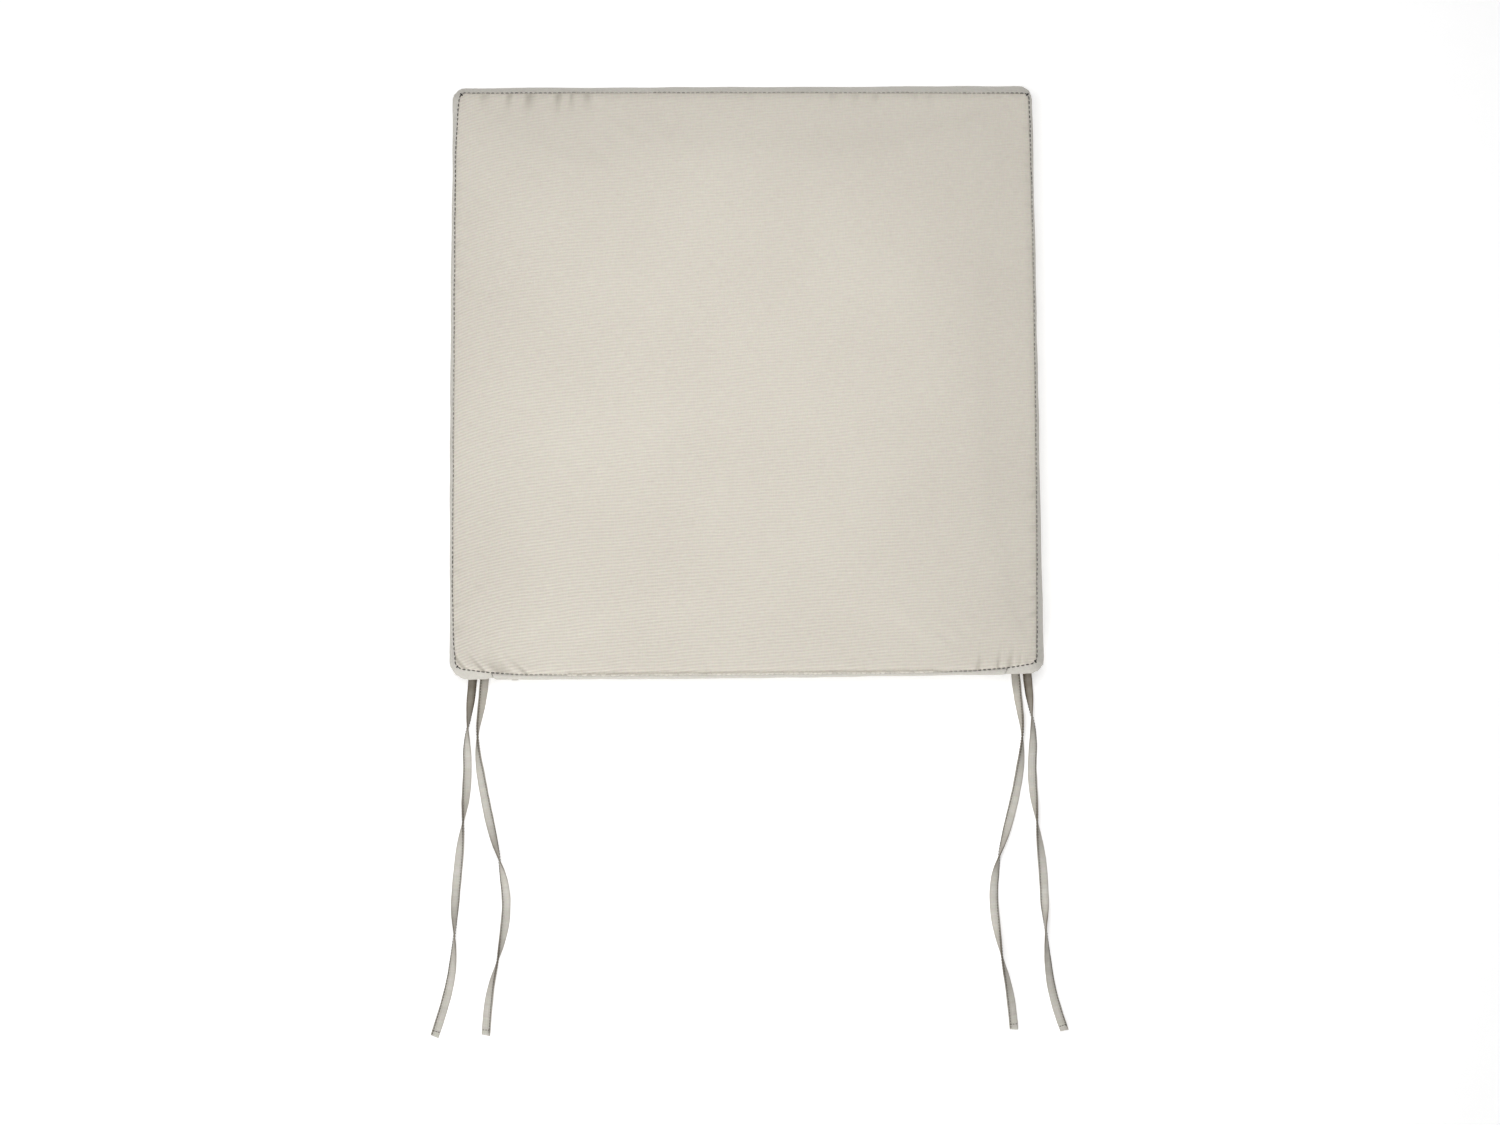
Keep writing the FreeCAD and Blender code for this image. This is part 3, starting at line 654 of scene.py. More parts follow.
# Where each tie's line goes: distance in from the pad's nearer side and out from the fullest part of the tie
# side, in millimetres.
TIE_ROUTES = {
    "tie_left_outer": [
        (18.0, -4.0), (16.0, 18.0), (12.4, 50.0), (13.2, 83.0), (10.2, 118.0),
        (5.2, 158.0), (2.4, 194.0), (2.8, 228.0), (-2.6, 266.0), (-14.3, 300.6),
    ],
    "tie_left_inner": [
        (28.0, -4.0), (26.0, 18.0), (20.4, 52.0), (26.0, 92.0), (33.6, 128.0),
        (43.4, 162.0), (47.0, 194.0), (41.4, 230.0), (30.6, 268.0), (28.9, 299.9),
    ],
    "tie_right_inner": [
        (22.0, -4.0), (20.0, 16.0), (15.6, 48.0), (19.6, 88.0), (29.2, 126.0),
        (40.2, 160.0), (42.4, 192.0), (36.6, 232.0), (27.6, 270.0), (25.7, 296.8),
    ],
    "tie_right_outer": [
        (12.1, -4.0), (10.2, 16.0), (6.6, 48.0), (8.8, 83.0), (4.8, 124.0),
        (-0.6, 164.0), (-1.2, 200.0), (-2.2, 232.0), (-7.0, 270.0), (-16.9, 297.8),
    ],
}
# Half turns of each band: distance from its root in millimetres, and half turns by then. Then 1 or -1 for the
# edge that is stitched, how dark the painted shadow of the pad is on the band's root, and how far that
# reaches in millimetres.
TIE_TURNS = {
    "tie_left_outer": (
        [(0, 0.06), (44, 0.5), (80, 1), (123, 1.5), (168, 2), (217, 2.5), (277, 3), (310, 3.2)],
        -1, 0.66, 36,
    ),
    "tie_left_inner": (
        [(0, 0.1), (50, 0.5), (107, 1), (158, 1.5), (193, 2), (243, 2.5), (300, 2.95), (312, 3)],
        1, 0.26, 34,
    ),
    "tie_right_inner": (
        [(0, -0.1), (52, -0.5), (104, -1), (157, -1.5), (190, -2), (240, -2.5), (298, -2.95), (310, -3)],
        -1, 0.24, 34,
    ),
    "tie_right_outer": (
        [(0, -0.06), (35, -0.5), (80, -1), (124, -1.5), (176, -2), (214, -2.5), (285, -3), (308, -3.1)],
        1, 0.66, 30,
    ),
}


def route_line(name):
    """The smooth line of a tie: a curve that the route's points steer, as points."""
    side = -1 if "left" in name else 1
    curve = bpy.data.curves.new(f"{name}_line", "CURVE")
    curve.dimensions = "3D"
    spline = curve.splines.new("NURBS")
    route = [
        (side * (HALF_WIDTH - u * MM), -(HALF_DEPTH + v * MM), TIE_HEIGHT)
        for u, v in TIE_ROUTES[name]
    ]
    spline.points.add(len(route) - 1)
    for point, place in zip(spline.points, route):
        point.co = (*place, 1)
    spline.order_u = 3
    spline.use_endpoint_u = True
    spline.resolution_u = 24
    holder = bpy.data.objects.new(f"{name}_line", curve)
    bpy.context.scene.collection.objects.link(holder)
    bpy.context.view_layer.update()
    mesh = bpy.data.meshes.new_from_object(holder)
    line = coordinates(mesh)
    bpy.data.meshes.remove(mesh)
    bpy.data.objects.remove(holder)
    bpy.data.curves.remove(curve)
    return line


def even(line, step):
    """Points a step apart along a line, and how far along each is."""
    lengths = travelled(line)
    travel = np.linspace(0, lengths[-1], int(round(lengths[-1] / step)) + 1)
    return taken(travel, lengths, line), travel


def softened(values, width):
    """A row of values averaged over a width of neighbours, with its ends held."""
    padded = np.pad(values, width, mode="edge")
    kernel = np.hanning(2 * width + 1)
    return np.convolve(padded, kernel / kernel.sum(), mode="valid")


def band_frame(name, travel, line):
    """A band's middle line, the direction across it and the direction out of its face, at each point.

    The band turns about its line by its half turns, faster where it stands on edge. Its middle is as high as
    its lowest edge on the floor needs: half its width times the sine of the turn, and half its thickness
    times the cosine. Near the root it comes down from the bottom seam.
    """
    knots = np.array(TIE_TURNS[name][0])
    turn = softened(np.interp(travel, knots[:, 0] * MM, knots[:, 1]), 9)
    angle = turn * math.pi - 0.3 * np.sin(2 * math.pi * turn)
    forward = heading(line)
    across = np.cross(forward, UP) * np.cos(angle)[:, None] + UP * np.sin(angle)[:, None]
    rest = np.abs(np.sin(angle)) * BAND_WIDTH / 2 + np.abs(np.cos(angle)) * BAND_THICK / 2
    hem = LOW_SEAM + 0.2 * MM
    height = np.maximum(rest + (hem - rest) * (1 - smooth(travel / (22 * MM))), rest)
    middle = np.column_stack([line[:, :2], height + 0.1 * MM])
    return middle, across, np.cross(across, forward)


def with_poles(rings):
    """Rings of a tube with its two ends drawn together to their middles."""
    first, last = (np.broadcast_to(ring.mean(axis=0), ring.shape)[None] for ring in (rings[0], rings[-1]))
    return np.concatenate([first, rings, last])


def band_section():
    """The band's outline across: a flat rounded bar, thinner beside its stitched edge.

    The first number is the place across from -1 to 1, stitched edge at 1, and the second the place out.
    """
    angles = np.linspace(0, 2 * math.pi, 20, endpoint=False)
    across = np.sign(np.cos(angles)) * np.abs(np.cos(angles)) ** 0.35
    out = np.sign(np.sin(angles)) * np.abs(np.sin(angles)) ** 0.8
    return across, out * (1 - 0.25 * smooth((across - 0.5) / 0.3) + 0.12 * smooth((across - 0.85) / 0.15))


def tie_band(name):
    """One tie: a folded and stitched band that turns over and over along its line and lies on the floor.

    Its edges wander a little, its last stretch is thicker where it is folded back, and its end is cut on a
    slant. Painted shade darkens it: the pad's shadow over its root, where it stands on edge, along its rims
    and in the hollow beside its stitched edge.
    """
    line, travel = even(route_line(name), 1.4 * MM)
    middle, across, out = band_frame(name, travel, line)
    _, stitched, dark, reach = TIE_TURNS[name]
    seed = sum(map(ord, name))
    place, rise = band_section()
    place = place * stitched
    to_end = (travel[-1] - travel)[:, None]
    end = smooth(to_end / (7 * MM))
    hem = 0.14 * smooth(2 * end) * (end < 0.95)
    edge = 1 + 0.03 * wander(travel, seed, 17 * MM, 31 * MM)[:, None]
    swell = 1 + 0.1 * wander(travel, seed + 1, 9 * MM, 23 * MM)[:, None] + hem
    slant = 0.12 * smooth(1 - to_end / (12 * MM))
    rings = (
        middle[:, None, :]
        + across[:, None, :] * (place * edge * BAND_WIDTH / 2)[:, :, None]
        + out[:, None, :] * (rise * swell * BAND_THICK / 2)[:, :, None]
        + heading(line)[:, None, :] * (place * slant * BAND_WIDTH / 2)[:, :, None]
    )
    points = with_poles(rings)
    points[:, :, 2] = np.maximum(points[:, :, 2], 0.05 * MM)
    along = np.pad(travel, 1, mode="edge")
    girth = np.linspace(0, 2 * BAND_WIDTH, len(place) + 1)
    band = grid_piece(name + "_band", points, np.stack(np.meshgrid(girth, along), axis=-1), around=True)
    # Painted shade: the pad's shadow over the root, faces turned on edge, the rounded rims and the hollow by
    # the stitched edge; worn is a slow random tone.
    root = dark * (1 - smooth((along - 0.25 * reach * MM) / (reach * MM)))
    edge_on_shade = np.pad(across[:, 2], 1, mode="edge") ** 2
    worn = 0.04 * (1 + wander(along, seed + 2, 38 * MM, 11 * MM))
    rim_shade = 0.3 * np.abs(place) ** 6
    stitch_line_shade = 0.3 * np.exp(-(((place * stitched - 0.78) / 0.14) ** 2))
    shade = (root + 0.5 * edge_on_shade + worn)[:, None] + rim_shade + stitch_line_shade
    number_each(band.data, "shade", np.clip(shade, 0, 0.9))
    clean(band)
    dress(band, TIE_CLOTH, "tie_cloth", name)
    sewn = band_stitches(name, travel, middle, across, out, stitched)


def band_stitches(name, travel, middle, across, out, stitched):
    """The stitches beside a band's edge, on both of its faces, and a row across its end."""
    spots = np.arange(3 * MM, travel[-1] - 2 * MM, TIE_PITCH)
    centre, side, face = (taken(spots, travel, rows) for rows in (middle, across, out))
    ahead = taken(spots + 0.5 * MM, travel, middle) - taken(spots - 0.5 * MM, travel, middle)
    centre = centre + side * stitched * (BAND_WIDTH / 2 - 1.1 * MM)
    last = np.full(3, travel[-1] - 4.5 * MM)
    end, end_side, end_face = (taken(last, travel, rows) for rows in (middle, across, out))
    end = end + end_side * (np.linspace(-2.2, 2.2, 3)[:, None] * MM)
    outward = np.concatenate([face, -face, end_face, -end_face])
    centres = np.concatenate([centre, centre, end, end]) + outward * BAND_THICK / 2
    along = np.concatenate([ahead, ahead, end_side, end_side])
    keep = centres[:, 2] > 0.5 * MM
    tone = 0.3 * np.random.default_rng(5).random(keep.sum())
    length, thick = 1.7 * MM, 0.6 * MM
    return strands(
        f"{name}_stitches", TIE_THREAD_AND_HOLE_SHADE, [], centres[keep], along[keep], outward[keep], length, thick, tone
    )


for tie_name in TIE_ROUTES:
    tie_band(tie_name)


# ---------------------------------------------------------------- cover

# Puckers of the top panel by its seam. Each group has its side, its first and last place along that side in
# millimetres from the middle, how many puckers it has, how far they reach in, how they lean and their depth.
PUCKERS = [
    ("far", -240, -118, 7, 13, 0.05, 1.5),
    ("far", 60, 184, 6, 9, -0.1, 0.6),
    ("tie", -256, -176, 5, 13, -0.85, 2.3),
    ("tie", 192, 246, 5, 12, 0.12, 1.4),
    ("left", -236, -130, 6, 8, 0.3, 0.5),
    ("left", 60, 230, 8, 7, -0.1, 0.4),
    ("right", -230, -90, 8, 8, -0.3, 0.5),
    ("right", 100, 236, 8, 8, 0.2, 0.4),
]


def graded(count, share):
    """Fractions from 0 to 1, closer together near both ends: part even and part the sine of a half turn."""
    w = np.linspace(-1, 1, count)
    return 0.5 + 0.5 * ((1 - share) * w + share * np.sin(w * math.pi / 2))


def roll(distance, run):
    """A quarter round from 0 to 1 over a run."""
    return np.sqrt(1 - (1 - np.clip(distance / run, 0, 1)) ** 2)


def edge_distances(u, v):
    """Distances from the four sides: tie, far, left and right."""
    return {
        "tie": v * 2 * HALF_DEPTH,
        "far": (1 - v) * 2 * HALF_DEPTH,
        "left": u * 2 * HALF_WIDTH,
        "right": (1 - u) * 2 * HALF_WIDTH,
    }


def nearest_edges(u, v):
    """Distances from the nearer of the left and right sides, and from the nearer of the other two."""
    d = edge_distances(u, v)
    return np.minimum(d["left"], d["right"]), np.minimum(d["tie"], d["far"])


def puckered(u, v):
    """How far the cloth is drawn in by its puckers.

    A pucker is a crease between two round rolls: the size of a sine along the side. It starts
    at the seam, leans as it goes in and fades over its reach. Its group fades at both its ends, and each
    side has small uneven puckers all along.
    """
    distances = edge_distances(u, v)
    depth = np.zeros_like(u)
    for side, first, last, count, reach, lean, deep in PUCKERS:
        inward = distances[side] / MM
        along = (u if side in ("tie", "far") else v) * 500 - 250 - lean * inward
        share = (along - first) / (last - first)
        group = smooth(share / 0.12) * smooth((1 - share) / 0.12)
        wobble = 0.8 * np.sin(share * 7.3 + lean * 9) + 0.5 * np.sin(share * 17.1 + count)
        phase = math.pi * count * share + wobble
        own = 0.8 + 0.2 * np.sin(1.7 * phase + first)
        ridge = np.sqrt(np.sin(phase) ** 2 + 0.06) - 0.78
        fade = np.exp(-((inward / (reach * own)) ** 1.8)) * (1 - np.exp(-inward / 1.0))
        depth += deep * MM * own * group * ridge * fade
    for seed, (side, inward) in enumerate(distances.items()):
        along = (u if side in ("tie", "far") else v) * 0.5
        small = wander(along, seed + 11, 7 * MM, 12 * MM, 21 * MM)
        fade = np.exp(-((inward / (7 * MM)) ** 1.5)) * (1 - np.exp(-inward / (1.0 * MM)))
        depth += 0.14 * MM * small * fade
    return depth


def top_points(u, v):
    """The top panel: from its seam it rolls over quickly, then swells slowly to the level middle.

    The height over the seam is the product, for the two directions, of a quarter round and a slow crown.
    Along most of the tie side the roll is gentler than a quarter round.
    """
    across, along = nearest_edges(u, v)
    gentle = smooth((u - 0.1) / 0.15) * smooth((0.92 - u) / 0.12) * (v < 0.5)
    near = np.clip(along / ROLL_RUN, 0, 1)
    roll_along = roll(along, ROLL_RUN) * (1 - gentle) + (1 - (1 - near) ** 1.7) * gentle
    turn_over = roll(across, ROLL_RUN) * roll_along
    swell = crown(across) * crown(along)
    rise = CROWN_TOP - HIGH_SEAM + DITCH - ROLL_RISE
    x, y = seam_plan(u, v)
    slow = wander(x + 0.3 * y, 31, 0.21, 0.34) + wander(y - 0.2 * x, 32, 0.18, 0.29)
    height = HIGH_SEAM - DITCH + ROLL_RISE * turn_over + rise * swell + 0.12 * MM * slow * swell
    height = height + puckered(u, v)
    return np.stack([x, y, height], axis=-1)


def settle(points, held, gathered):
    """How far each point of a panel moves in a cloth simulation.

    Air presses the panel out while its edge is held, and cloth to spare where it is gathered buckles by the
    seam. Each move is kept to a cap, by the cap times the hyperbolic tangent of the move's share of it.
    """
    piece = grid_piece("settling", points, points[:, :, :2].copy())
    for name, weights in (("held", held), ("gathered", gathered)):
        group = piece.vertex_groups.new(name=name)
        levels = np.round(weights.ravel() * 10).astype(int)
        for level in range(1, 11):
            group.add(np.flatnonzero(levels == level).tolist(), level / 10, "REPLACE")
    cloth = piece.modifiers.new("settle", "CLOTH")
    fabric = cloth.settings
    fabric.quality = 6
    fabric.mass = 0.12
    fabric.tension_stiffness = 22
    fabric.compression_stiffness = 22
    fabric.shear_stiffness = 8
    fabric.bending_stiffness = 0.35
    fabric.vertex_group_mass = "held"
    fabric.vertex_group_shrink = "gathered"
    fabric.shrink_min = 0.0
    fabric.shrink_max = -0.018
    fabric.use_pressure = True
    fabric.uniform_pressure_force = 0.9
    fabric.effector_weights.gravity = 0
    scene = bpy.context.scene
    for at in range(1, SETTLE_FRAMES + 1):
        scene.frame_set(at)
    shown = piece.evaluated_get(bpy.context.evaluated_depsgraph_get())
    shift = coordinates(shown.data) - points.reshape(-1, 3)
    scene.frame_set(1)
    mesh = piece.data
    bpy.data.objects.remove(piece)
    bpy.data.meshes.remove(mesh)
    far = np.linalg.norm(shift, axis=1, keepdims=True) + 1e-9
    return (shift * (SETTLE_MOST * np.tanh(far / SETTLE_MOST) / far)).reshape(points.shape)


def spread(values, coarse, fine):
    """Values on a square grid of coarse steps, taken at fine steps in both directions."""
    return taken(fine, coarse, taken(fine, coarse, values).T).T


def top_cloth():
    """The top panel of the cover: it settles on a coarse grid, and its surface is made on a fine one."""
    steps = graded(222, 0.6)
    u, v = np.meshgrid(steps, steps)
    points = top_points(u, v)
    coarse = graded(140, 0.6)
    wide, deep = np.meshgrid(coarse, coarse)
    across, along = nearest_edges(wide, deep)
    nearest, to_corner = np.minimum(across, along), np.hypot(across, along)
    held = (nearest < 0.4 * MM).astype(float)
    loose = 0.55 + 0.45 * wander(wide + 2.3 * deep, 41, 0.11, 0.27)
    gathered = np.clip(np.exp(-((nearest / (22 * MM)) ** 2)) * loose, 0, 1)
    away = 1 - np.exp(-((to_corner / (50 * MM)) ** 2))
    shift = settle(top_points(wide, deep), held, gathered) * away[:, :, None]
    points += np.stack([spread(shift[:, :, i], coarse, steps) for i in range(3)], axis=-1)
    panel = grid_piece("top_cloth", points, points[:, :, :2].copy())
    # Painted shade in the pucker creases, darkest where the cloth is drawn in most.
    number_each(panel.data, "shade", 0.42 * np.clip(-puckered(u, v) / (0.6 * MM), 0, 1))
    thicken(panel, CLOTH)
    dress(panel, COVER, "cover_cloth", "top_panel")


def bottom_cloth():
    """The bottom panel: flat on the floor, and rolled up to its seam along its sides."""
    steps = graded(90, 0.66)
    u, v = np.meshgrid(steps, steps)
    across, along = nearest_edges(u, v)
    down = roll(across, SOLE_RUN) * roll(along, SOLE_RUN)
    x, y = seam_plan(u, v)
    small = wander(x + y, 51, 9 * MM, 16 * MM) * (1 - down) * down
    height = (LOW_SEAM + DITCH) * (1 - down) + 0.25 * MM * np.abs(small) + 0.02 * MM
    panel = grid_piece("bottom_cloth", np.stack([x, y, height], axis=-1), np.stack([x, y], axis=-1))
    facing(panel, (0, 0, -1))
    thicken(panel, CLOTH)
    dress(panel, COVER, "cover_cloth", "bottom_panel")


def border_points(turn, level, inset=0.0):
    """The border at places round the pad and at levels from 0, the bottom seam, to 1, the top seam.

    Its plan goes from the seam's to the fullest outline's by a weight that rises steeply from both seams.
    Beside the joins it comes in to the zip's land by the middle's height. Small uneven puckers start at
    both seams, and longer upright ones lie at the corners.
    """
    inner, outer = seam_line(turn), full_line(turn)
    weight = (1 - np.abs(2 * level - 1) ** 2.4) ** 0.8
    plan = inner * (1 - weight[..., None]) + outer * weight[..., None]
    height = LOW_SEAM + DITCH + (HIGH_SEAM - LOW_SEAM - 2 * DITCH) * level
    reach = np.abs(outer) / np.array([HALF_WIDTH, HALF_DEPTH])
    outward = unit(np.sign(outer) * reach**24)
    along = turn * 2 * HALF_WIDTH
    to_corner = np.minimum(turn % 1, 1 - turn % 1) * 2 * HALF_WIDTH
    corner = np.exp(-((to_corner / (16 * MM)) ** 2))
    small_top = wander(along + 10 * MM * level, 61, 8 * MM, 13 * MM, 27 * MM) * np.exp(-(1 - level) / 0.16)
    small_low = wander(along - 10 * MM * level, 62, 9 * MM, 15 * MM, 24 * MM) * np.exp(-level / 0.16)
    slow = wander(along + 20 * MM * level, 63, 61 * MM, 140 * MM)
    creases = wander(along + 6 * MM * level, 64, 6 * MM, 10 * MM) * corner
    free = 1 - np.abs(2 * level - 1) ** 6
    depth = (0.22 * small_top + 0.22 * small_low + 0.30 * slow + 0.32 * creases - 0.25) * MM * free - inset
    plan = plan + outward * depth[..., None]
    beside = np.minimum(np.abs(plan[..., 0] - JOIN_LEFT), np.abs(plan[..., 0] - JOIN_RIGHT))
    sunk = np.exp(-((beside / (5 * MM)) ** 2)) * (turn % 4 < 1)
    sunk = sunk * smooth(1 - (np.abs(height - MIDDLE) - LAND_TOP) / (4 * MM))
    plan[..., 1] = plan[..., 1] + np.maximum(LAND_FACE - plan[..., 1], 0) * sunk
    return np.concatenate([plan, height[..., None]], axis=-1)


def join_turn(x):
    """The place round the pad of an x on the tie side."""
    return (x + HALF_WIDTH) / (2 * HALF_WIDTH)


def border_turns(first, last, count):
    """Places from one turn to another, closer together at the corners."""
    turns = np.linspace(first, last, count)
    free = smooth((turns - first) / 0.1) * smooth((last - turns) / 0.1)
    return turns - 0.115 * np.sin(2 * math.pi * turns) * free


def border_cloth():
    """The border from the right join round the far side to the left join. Both its ends dip into a ditch."""
    first, last = join_turn(JOIN_RIGHT), 4 + join_turn(JOIN_LEFT)
    levels = 0.5 - 0.5 * np.cos(np.linspace(0, math.pi, 34))
    turn, level = np.meshgrid(border_turns(first, last, 760), levels)
    points = border_points(turn, level)
    ditch = np.exp(-np.minimum(turn - first, last - turn) * 2 * HALF_WIDTH / (0.5 * MM))
    points[:, :, 1] += 0.45 * MM * ditch
    border = grid_piece("border_cloth", points, np.stack([turn * 0.5, level * 0.047], axis=-1))
    facing(border)
    thicken(border, CLOTH)
    dress(border, SHADED_BORDER, "cover_cloth", "wrap_border")


def strip_section(count):
    """A strip of the zip panel between its seam and the land, at even steps.

    It gives the height over the zip's middle, and how much of the place out is the seam's, the fullest
    outline's and the land's. The fullest outline's share is a quarter round up and a quarter round down.
    """
    share = np.linspace(0, 1, count)
    seam = HIGH_SEAM - DITCH - MIDDLE
    swell = roll(np.minimum(2 * share, 2 - 2 * share), 1)
    from_seam = np.where(share < 0.5, 1 - swell, 0)
    return seam + (LAND_TOP - seam) * share, from_seam, swell, 1 - swell - from_seam


def zip_strip(word, side):
    """One strip of the zip panel: it swells from the seam, is sewn flat along the zip and turned under.

    The fold is a half round from the land's face to the tape's, and the hem lies behind the land.
    """
    x = np.linspace(JOIN_LEFT, JOIN_RIGHT, 300)
    height, from_seam, swell, to_land = strip_section(20)
    seam, full = seam_line(join_turn(x)), full_line(join_turn(x))
    full_y = np.minimum(full[:, 1:] + 0.25 * MM, LAND_FACE - 0.35 * MM)
    y = seam[:, 1:] * from_seam + full_y * swell + LAND_FACE * to_land
    puckers = wander(x, 71 + side, 8 * MM, 14 * MM, 30 * MM)[:, None]
    y = y + 0.28 * MM * puckers * (swell * (1 - swell) * 3)
    y = y + 0.25 * MM * wander(x, 75 + side, 90 * MM, 47 * MM)[:, None] * swell
    y = y + 0.4 * MM * np.exp(-np.minimum(x - JOIN_LEFT, JOIN_RIGHT - x) / (0.6 * MM))[:, None]
    turn = np.linspace(0, math.pi, 9)
    half = (TAPE_FACE - LAND_FACE) / 2
    land_z = np.linspace(LAND_TOP, FOLD + half, 6)[1:-1]
    land_y = LAND_FACE + 0.16 * MM * np.exp(-((land_z - STITCH_LINE) / (0.5 * MM)) ** 2)
    fold_y = LAND_FACE + half - half * np.cos(turn)
    fold_z = FOLD + half - half * np.sin(turn) + 0.12 * MM * wander(x, 78 + side, 26 * MM, 55 * MM)[:, None]
    hem_z = np.linspace(FOLD + half, TAPE_TOP - 0.6 * MM, 4)[1:]
    hem_y = np.full(len(hem_z), TAPE_FACE - 0.02 * MM)
    wide = seam[:, :1] * from_seam + full[:, :1] * swell + x[:, None] * to_land
    columns = ((wide, y, height), (x[:, None], land_y, land_z), (x[:, None], fold_y, fold_z))
    parts = []
    for part in (*columns, (x[:, None], hem_y, hem_z)):
        parts.append(np.stack(np.broadcast_arrays(*part), axis=-1))
    points = np.concatenate(parts, axis=1) * (1, 1, side) + UP * MIDDLE
    girth = np.broadcast_to(travelled(points[150]), points.shape[:2])
    strip = grid_piece(f"zip_strip_{word}", points, np.stack([points[:, :, 0], girth], axis=-1))
    facing(strip, FRONT)
    thicken(strip, half * 0.9)
    dress(strip, SHADED_BORDER, "cover_cloth", f"zip_panel_{word}")


def zip_coil(word, side):
    """One row of the coil: a wire wound round and round, flattened against the tape.

    The winding goes 1 pitch along for each turn. Across, it is a cosine from beside the middle to the
    coil's outer edge, and out from the tape it is half a sine.
    """
    pitch, wire = 1.3 * MM, 0.28 * MM
    turns = int((JOIN_RIGHT - JOIN_LEFT - 2 * MM) / pitch)
    angle = np.linspace(0, 2 * math.pi * turns, turns * 10 + 1)
    inner, outer = 0.62 * MM + wire, COIL_REACH - wire
    reach, centre = (outer - inner) / 2, (outer + inner) / 2
    deep = (TAPE_FACE - COIL_FACE) / 2 - wire
    x = JOIN_LEFT + 1 * MM + pitch * angle / (2 * math.pi)
    z = MIDDLE + side * (centre + reach * np.cos(angle))
    y = (TAPE_FACE + COIL_FACE) / 2 - 0.02 * MM + deep * np.sin(angle)
    line = np.stack([x, y, z], axis=-1)
    forward = heading(line)
    first = unit(np.cross(forward, RIGHT))
    second = np.cross(forward, first)
    ring = np.linspace(0, 2 * math.pi, 6, endpoint=False)
    tube = with_poles(
        line[:, None, :]
        + first[:, None, :] * (wire * np.cos(ring))[None, :, None]
        + second[:, None, :] * (wire * np.sin(ring))[None, :, None]
    )
    coil = grid_piece(f"zip_coil_turns_{word}", tube, np.zeros((len(tube), 7, 2)), around=True)
    clean(coil)
    dress(coil, COIL, "zip_coil", f"zip_coil_{word}")


def foam():
    """A closed block inside the cover.

    Its sides are rings of the border's shape, moved in and kept clear of the zip. Rings that shrink to the
    middle close it under the top panel's shape and on the floor.
    """
    gap = CLOTH + 0.6 * MM
    edge = np.concatenate([graded(60, 0.5)[:-1] + k for k in range(4)])
    turn, level = np.meshgrid(edge, np.linspace(0, 1, 12))
    ring = border_points(turn, level, gap)
    x, y = ring[:, :, 0], ring[:, :, 1]
    behind_zip = (turn % 4 < 1) & (x > JOIN_LEFT - 2 * MM) & (x < JOIN_RIGHT + 2 * MM)
    ring[:, :, 1] = np.where(behind_zip, np.maximum(y, -HALF_DEPTH + 6.8 * MM), y)
    ring[:, :, 2] = np.clip(ring[:, :, 2], LOW_SEAM + gap, HIGH_SEAM - gap)
    sole = np.full((1, len(edge), 1), gap + 0.2 * MM)
    rows = [np.concatenate([ring[:1, :, :2] * share, sole], axis=-1) for share in (0, 0.5, 0.94, 0.98)]
    rows.append(ring)
    u, v = round_the_pad(edge)
    u, v = to_seam(u, HALF_WIDTH) - 0.5, to_seam(v, HALF_DEPTH) - 0.5
    for share in (0.985, 0.96, 0.9, 0.8, 0.6, 0.3, 0):
        rows.append(top_points(0.5 + u * share, 0.5 + v * share)[None] - UP * 1.6 * gap)
    points = np.concatenate(rows)
    block = grid_piece("foam_block", points, np.zeros((len(points), len(edge) + 1, 2)), around=True)
    clean(block)
    dress(block, FOAM, "foam", "foam_core")


# ---------------------------------------------------------------- stitches

# How dark the top seam's stitches are, at places round the pad: 0 is near black, painted shade where the
# seam gapes open, and 1 like the cloth.
TOP_SEAM_TONES = [
    (0.0, 0.0), (0.07, 0.1), (0.16, 0.45), (0.22, 0.9), (0.5, 1.0), (0.80, 0.95), (0.85, 0.4), (0.92, 0.15),
    (1.0, 0.0), (1.1, 0.25), (1.4, 0.3), (1.7, 0.35), (1.95, 0.1),
    (2.0, 0.0), (2.1, 0.45), (2.3, 0.5), (2.6, 0.4), (2.75, 0.5), (2.88, 0.15), (2.97, 0.25),
    (3.0, 0.0), (3.1, 0.05), (3.3, 0.2), (3.6, 0.35), (3.9, 0.1), (4.0, 0.0),
]


def seam_spots(height):
    """Places a stitch apart along a seam, with the directions along it and out of it, and their turns."""
    turns = np.linspace(0.0, 4.0, 4001)
    line = np.column_stack([seam_line(turns), np.full(len(turns), height)])
    lengths = travelled(line)
    travel = np.arange(SEAM_PITCH / 2, lengths[-1], SEAM_PITCH)
    ahead = taken(travel + 0.4 * MM, lengths, line) - taken(travel - 0.4 * MM, lengths, line)
    return taken(travel, lengths, line), ahead, np.cross(unit(ahead), UP), np.interp(travel, lengths, turns)


def top_seam_stitches():
    """The top seam's stitches; their short near-black dashes in its ditch are painted shade of the seam's
    open gaps.

    Where they are light they hide, painting light over the ditch's shade: longer, thicker, end to end and
    further in.
    """
    spots, ahead, across, turns = seam_spots(HIGH_SEAM - DITCH + 0.55 * MM)
    tones = np.array(TOP_SEAM_TONES)
    random = np.random.default_rng(81)
    tone = np.interp(turns, tones[:, 0], tones[:, 1]) + random.uniform(-0.12, 0.12, len(turns))
    length = 2.9 * MM * random.uniform(0.8, 1.12, len(turns))
    hidden = smooth((tone - 0.6) / 0.35)
    length = length + (4.4 * MM - length) * hidden
    thick = (0.85 + 1.0 * hidden) * MM
    side = 0.25 * wander(turns * 0.5, 82, 31 * MM, 74 * MM) - 0.3 * hidden
    spots = spots + across * (side * MM)[:, None]
    tone = np.clip(tone, 0, 1)
    strands(
        "top_seam_stitches", THREAD_AND_GAP_SHADE, ["top_seam_thread"], spots, ahead, UP + across * 0.3, length, thick, tone
    )


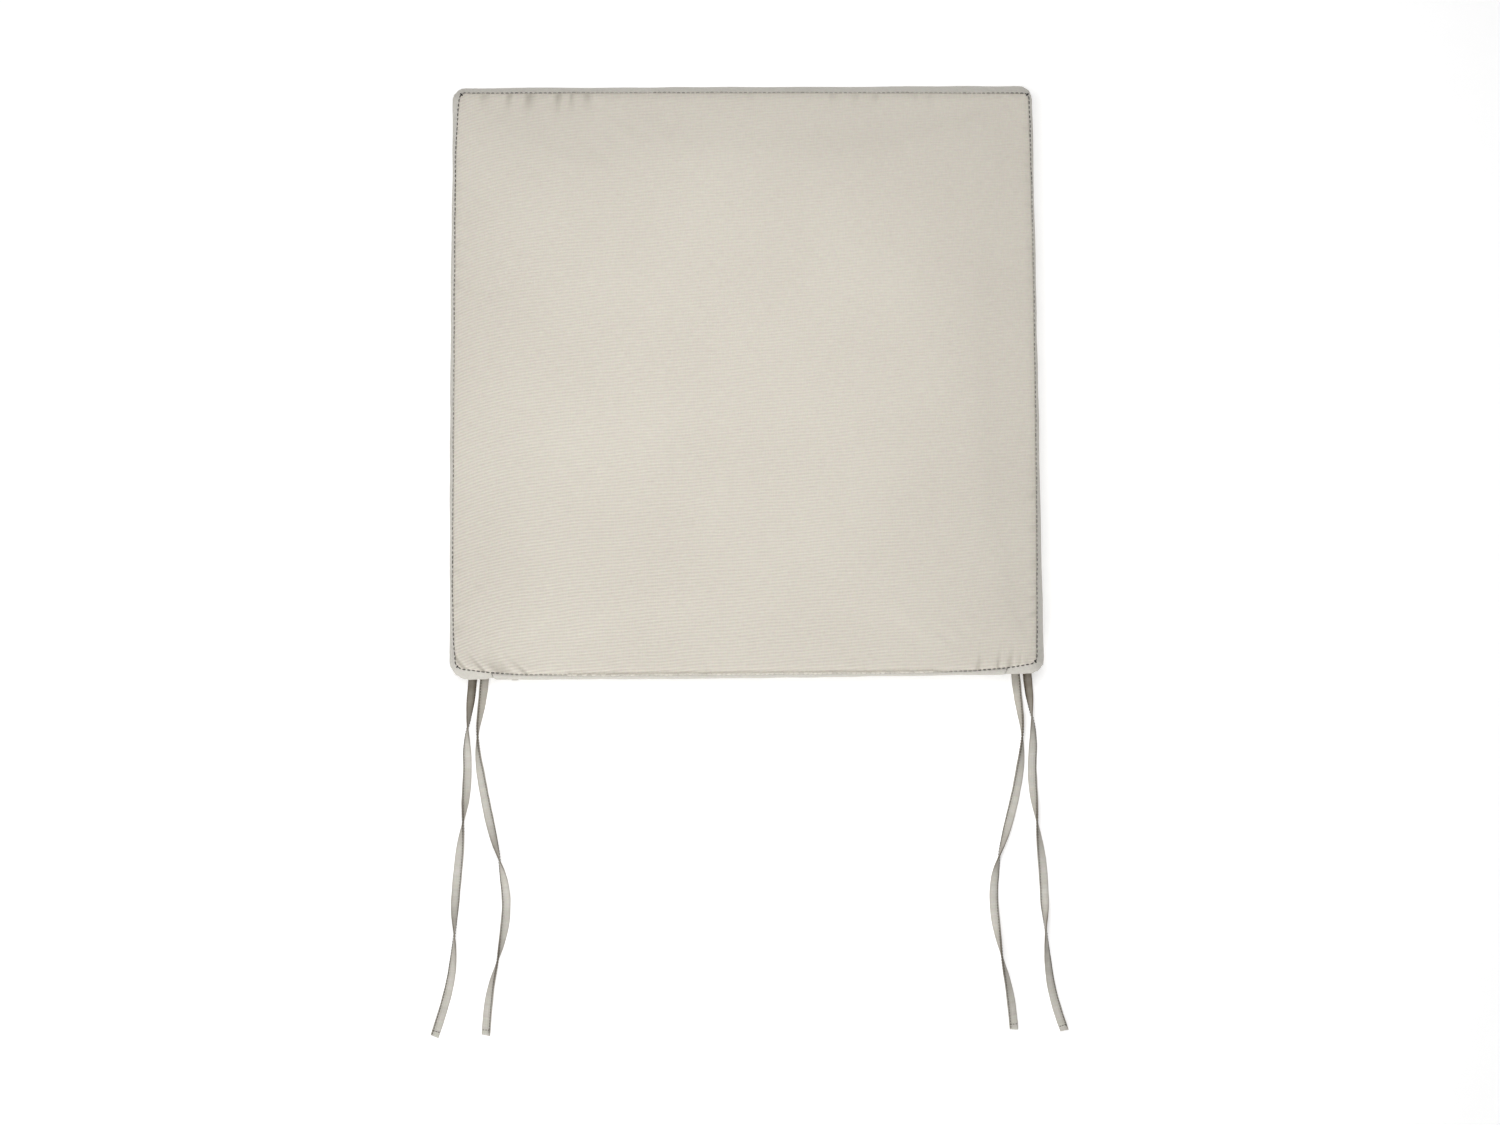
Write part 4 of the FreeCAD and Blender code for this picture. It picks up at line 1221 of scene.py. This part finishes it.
def corner_pit_shades():
    """At each corner of the top seam, one near-black stitch that points in from the corner, as painted shade
    of the small dark pit there.
    """
    corners = seam_line(np.arange(4.0) + 1e-6)
    inward = -np.sign(corners) / math.sqrt(2)
    centres = np.column_stack([corners + inward * 0.2 * MM, np.full(4, HIGH_SEAM + 0.25 * MM)])
    along = np.column_stack([inward, np.zeros(4)])
    strands("corner_pit_shade_stitches", THREAD_AND_GAP_SHADE, [], centres, along, UP, 4.0 * MM, 1.5 * MM, np.zeros(4), bulge=0.1)


def bottom_seam_stitches():
    """The bottom seam's stitches."""
    spots, ahead, across, turns = seam_spots(LOW_SEAM + DITCH)
    spots = spots + across * 0.1 * MM
    out = across - 0.4 * UP
    tone = 0.45 + 0.3 * np.random.default_rng(83).random(len(turns))
    strands(
        "bottom_seam_stitches", THREAD_AND_GAP_SHADE, ["bottom_seam_thread"], spots, ahead, out, 2.8 * MM, 0.6 * MM, tone
    )


def join_stitches(word, x):
    """The stitches down a join of the tie side, in the ditch between border and zip panel."""
    levels = np.linspace(0.06, 0.94, 13)
    known = np.linspace(0, 1, 40)
    place = taken(levels, known, border_points(np.full(40, join_turn(x)), known))
    place[:, 1] += 0.25 * MM
    place[:, 0] += 0.3 * MM * np.linspace(-1, 1, len(levels)) * (-1 if word == "left" else 1)
    ahead = np.gradient(place, axis=0)
    tone = 0.1 + 0.2 * np.random.default_rng(84).random(len(levels))
    nodes = [f"join_thread_{word}"]
    strands(f"join_stitches_{word}", THREAD_AND_GAP_SHADE, nodes, place, ahead, FRONT, 2.6 * MM, 0.45 * MM, tone)


def zip_stitch_row(word, side):
    """The row of stitches that holds a strip's land to its tape."""
    x = np.arange(JOIN_LEFT + 2 * MM, JOIN_RIGHT - 1 * MM, ZIP_PITCH)
    level = np.ones(len(x))
    place = np.column_stack([x, level * (LAND_FACE + 0.02 * MM), level * (MIDDLE + side * STITCH_LINE)])
    tone = 0.6 + 0.25 * np.random.default_rng(85 + side).random(len(x))
    nodes = [f"zip_stitches_{word}"]
    strands(f"zip_stitch_row_{word}", THREAD_AND_GAP_SHADE, nodes, place, RIGHT, FRONT, 2.4 * MM, 0.42 * MM, tone)


top_cloth()
bottom_cloth()
border_cloth()
foam()
top_seam_stitches()
corner_pit_shades()
bottom_seam_stitches()
for word, side in (("upper", 1), ("lower", -1)):
    zip_strip(word, side)
    zip_coil(word, side)
    zip_stitch_row(word, side)
for word, x in (("left", JOIN_LEFT), ("right", JOIN_RIGHT)):
    join_stitches(word, x)
for node, finish in (
    ("zip_tape_upper", TAPE), ("zip_tape_lower", TAPE), ("zip_slider", ENAMEL), ("zip_pull", ENAMEL),
):
    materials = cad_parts[node].data.materials
    materials.clear()
    materials.append(finish)
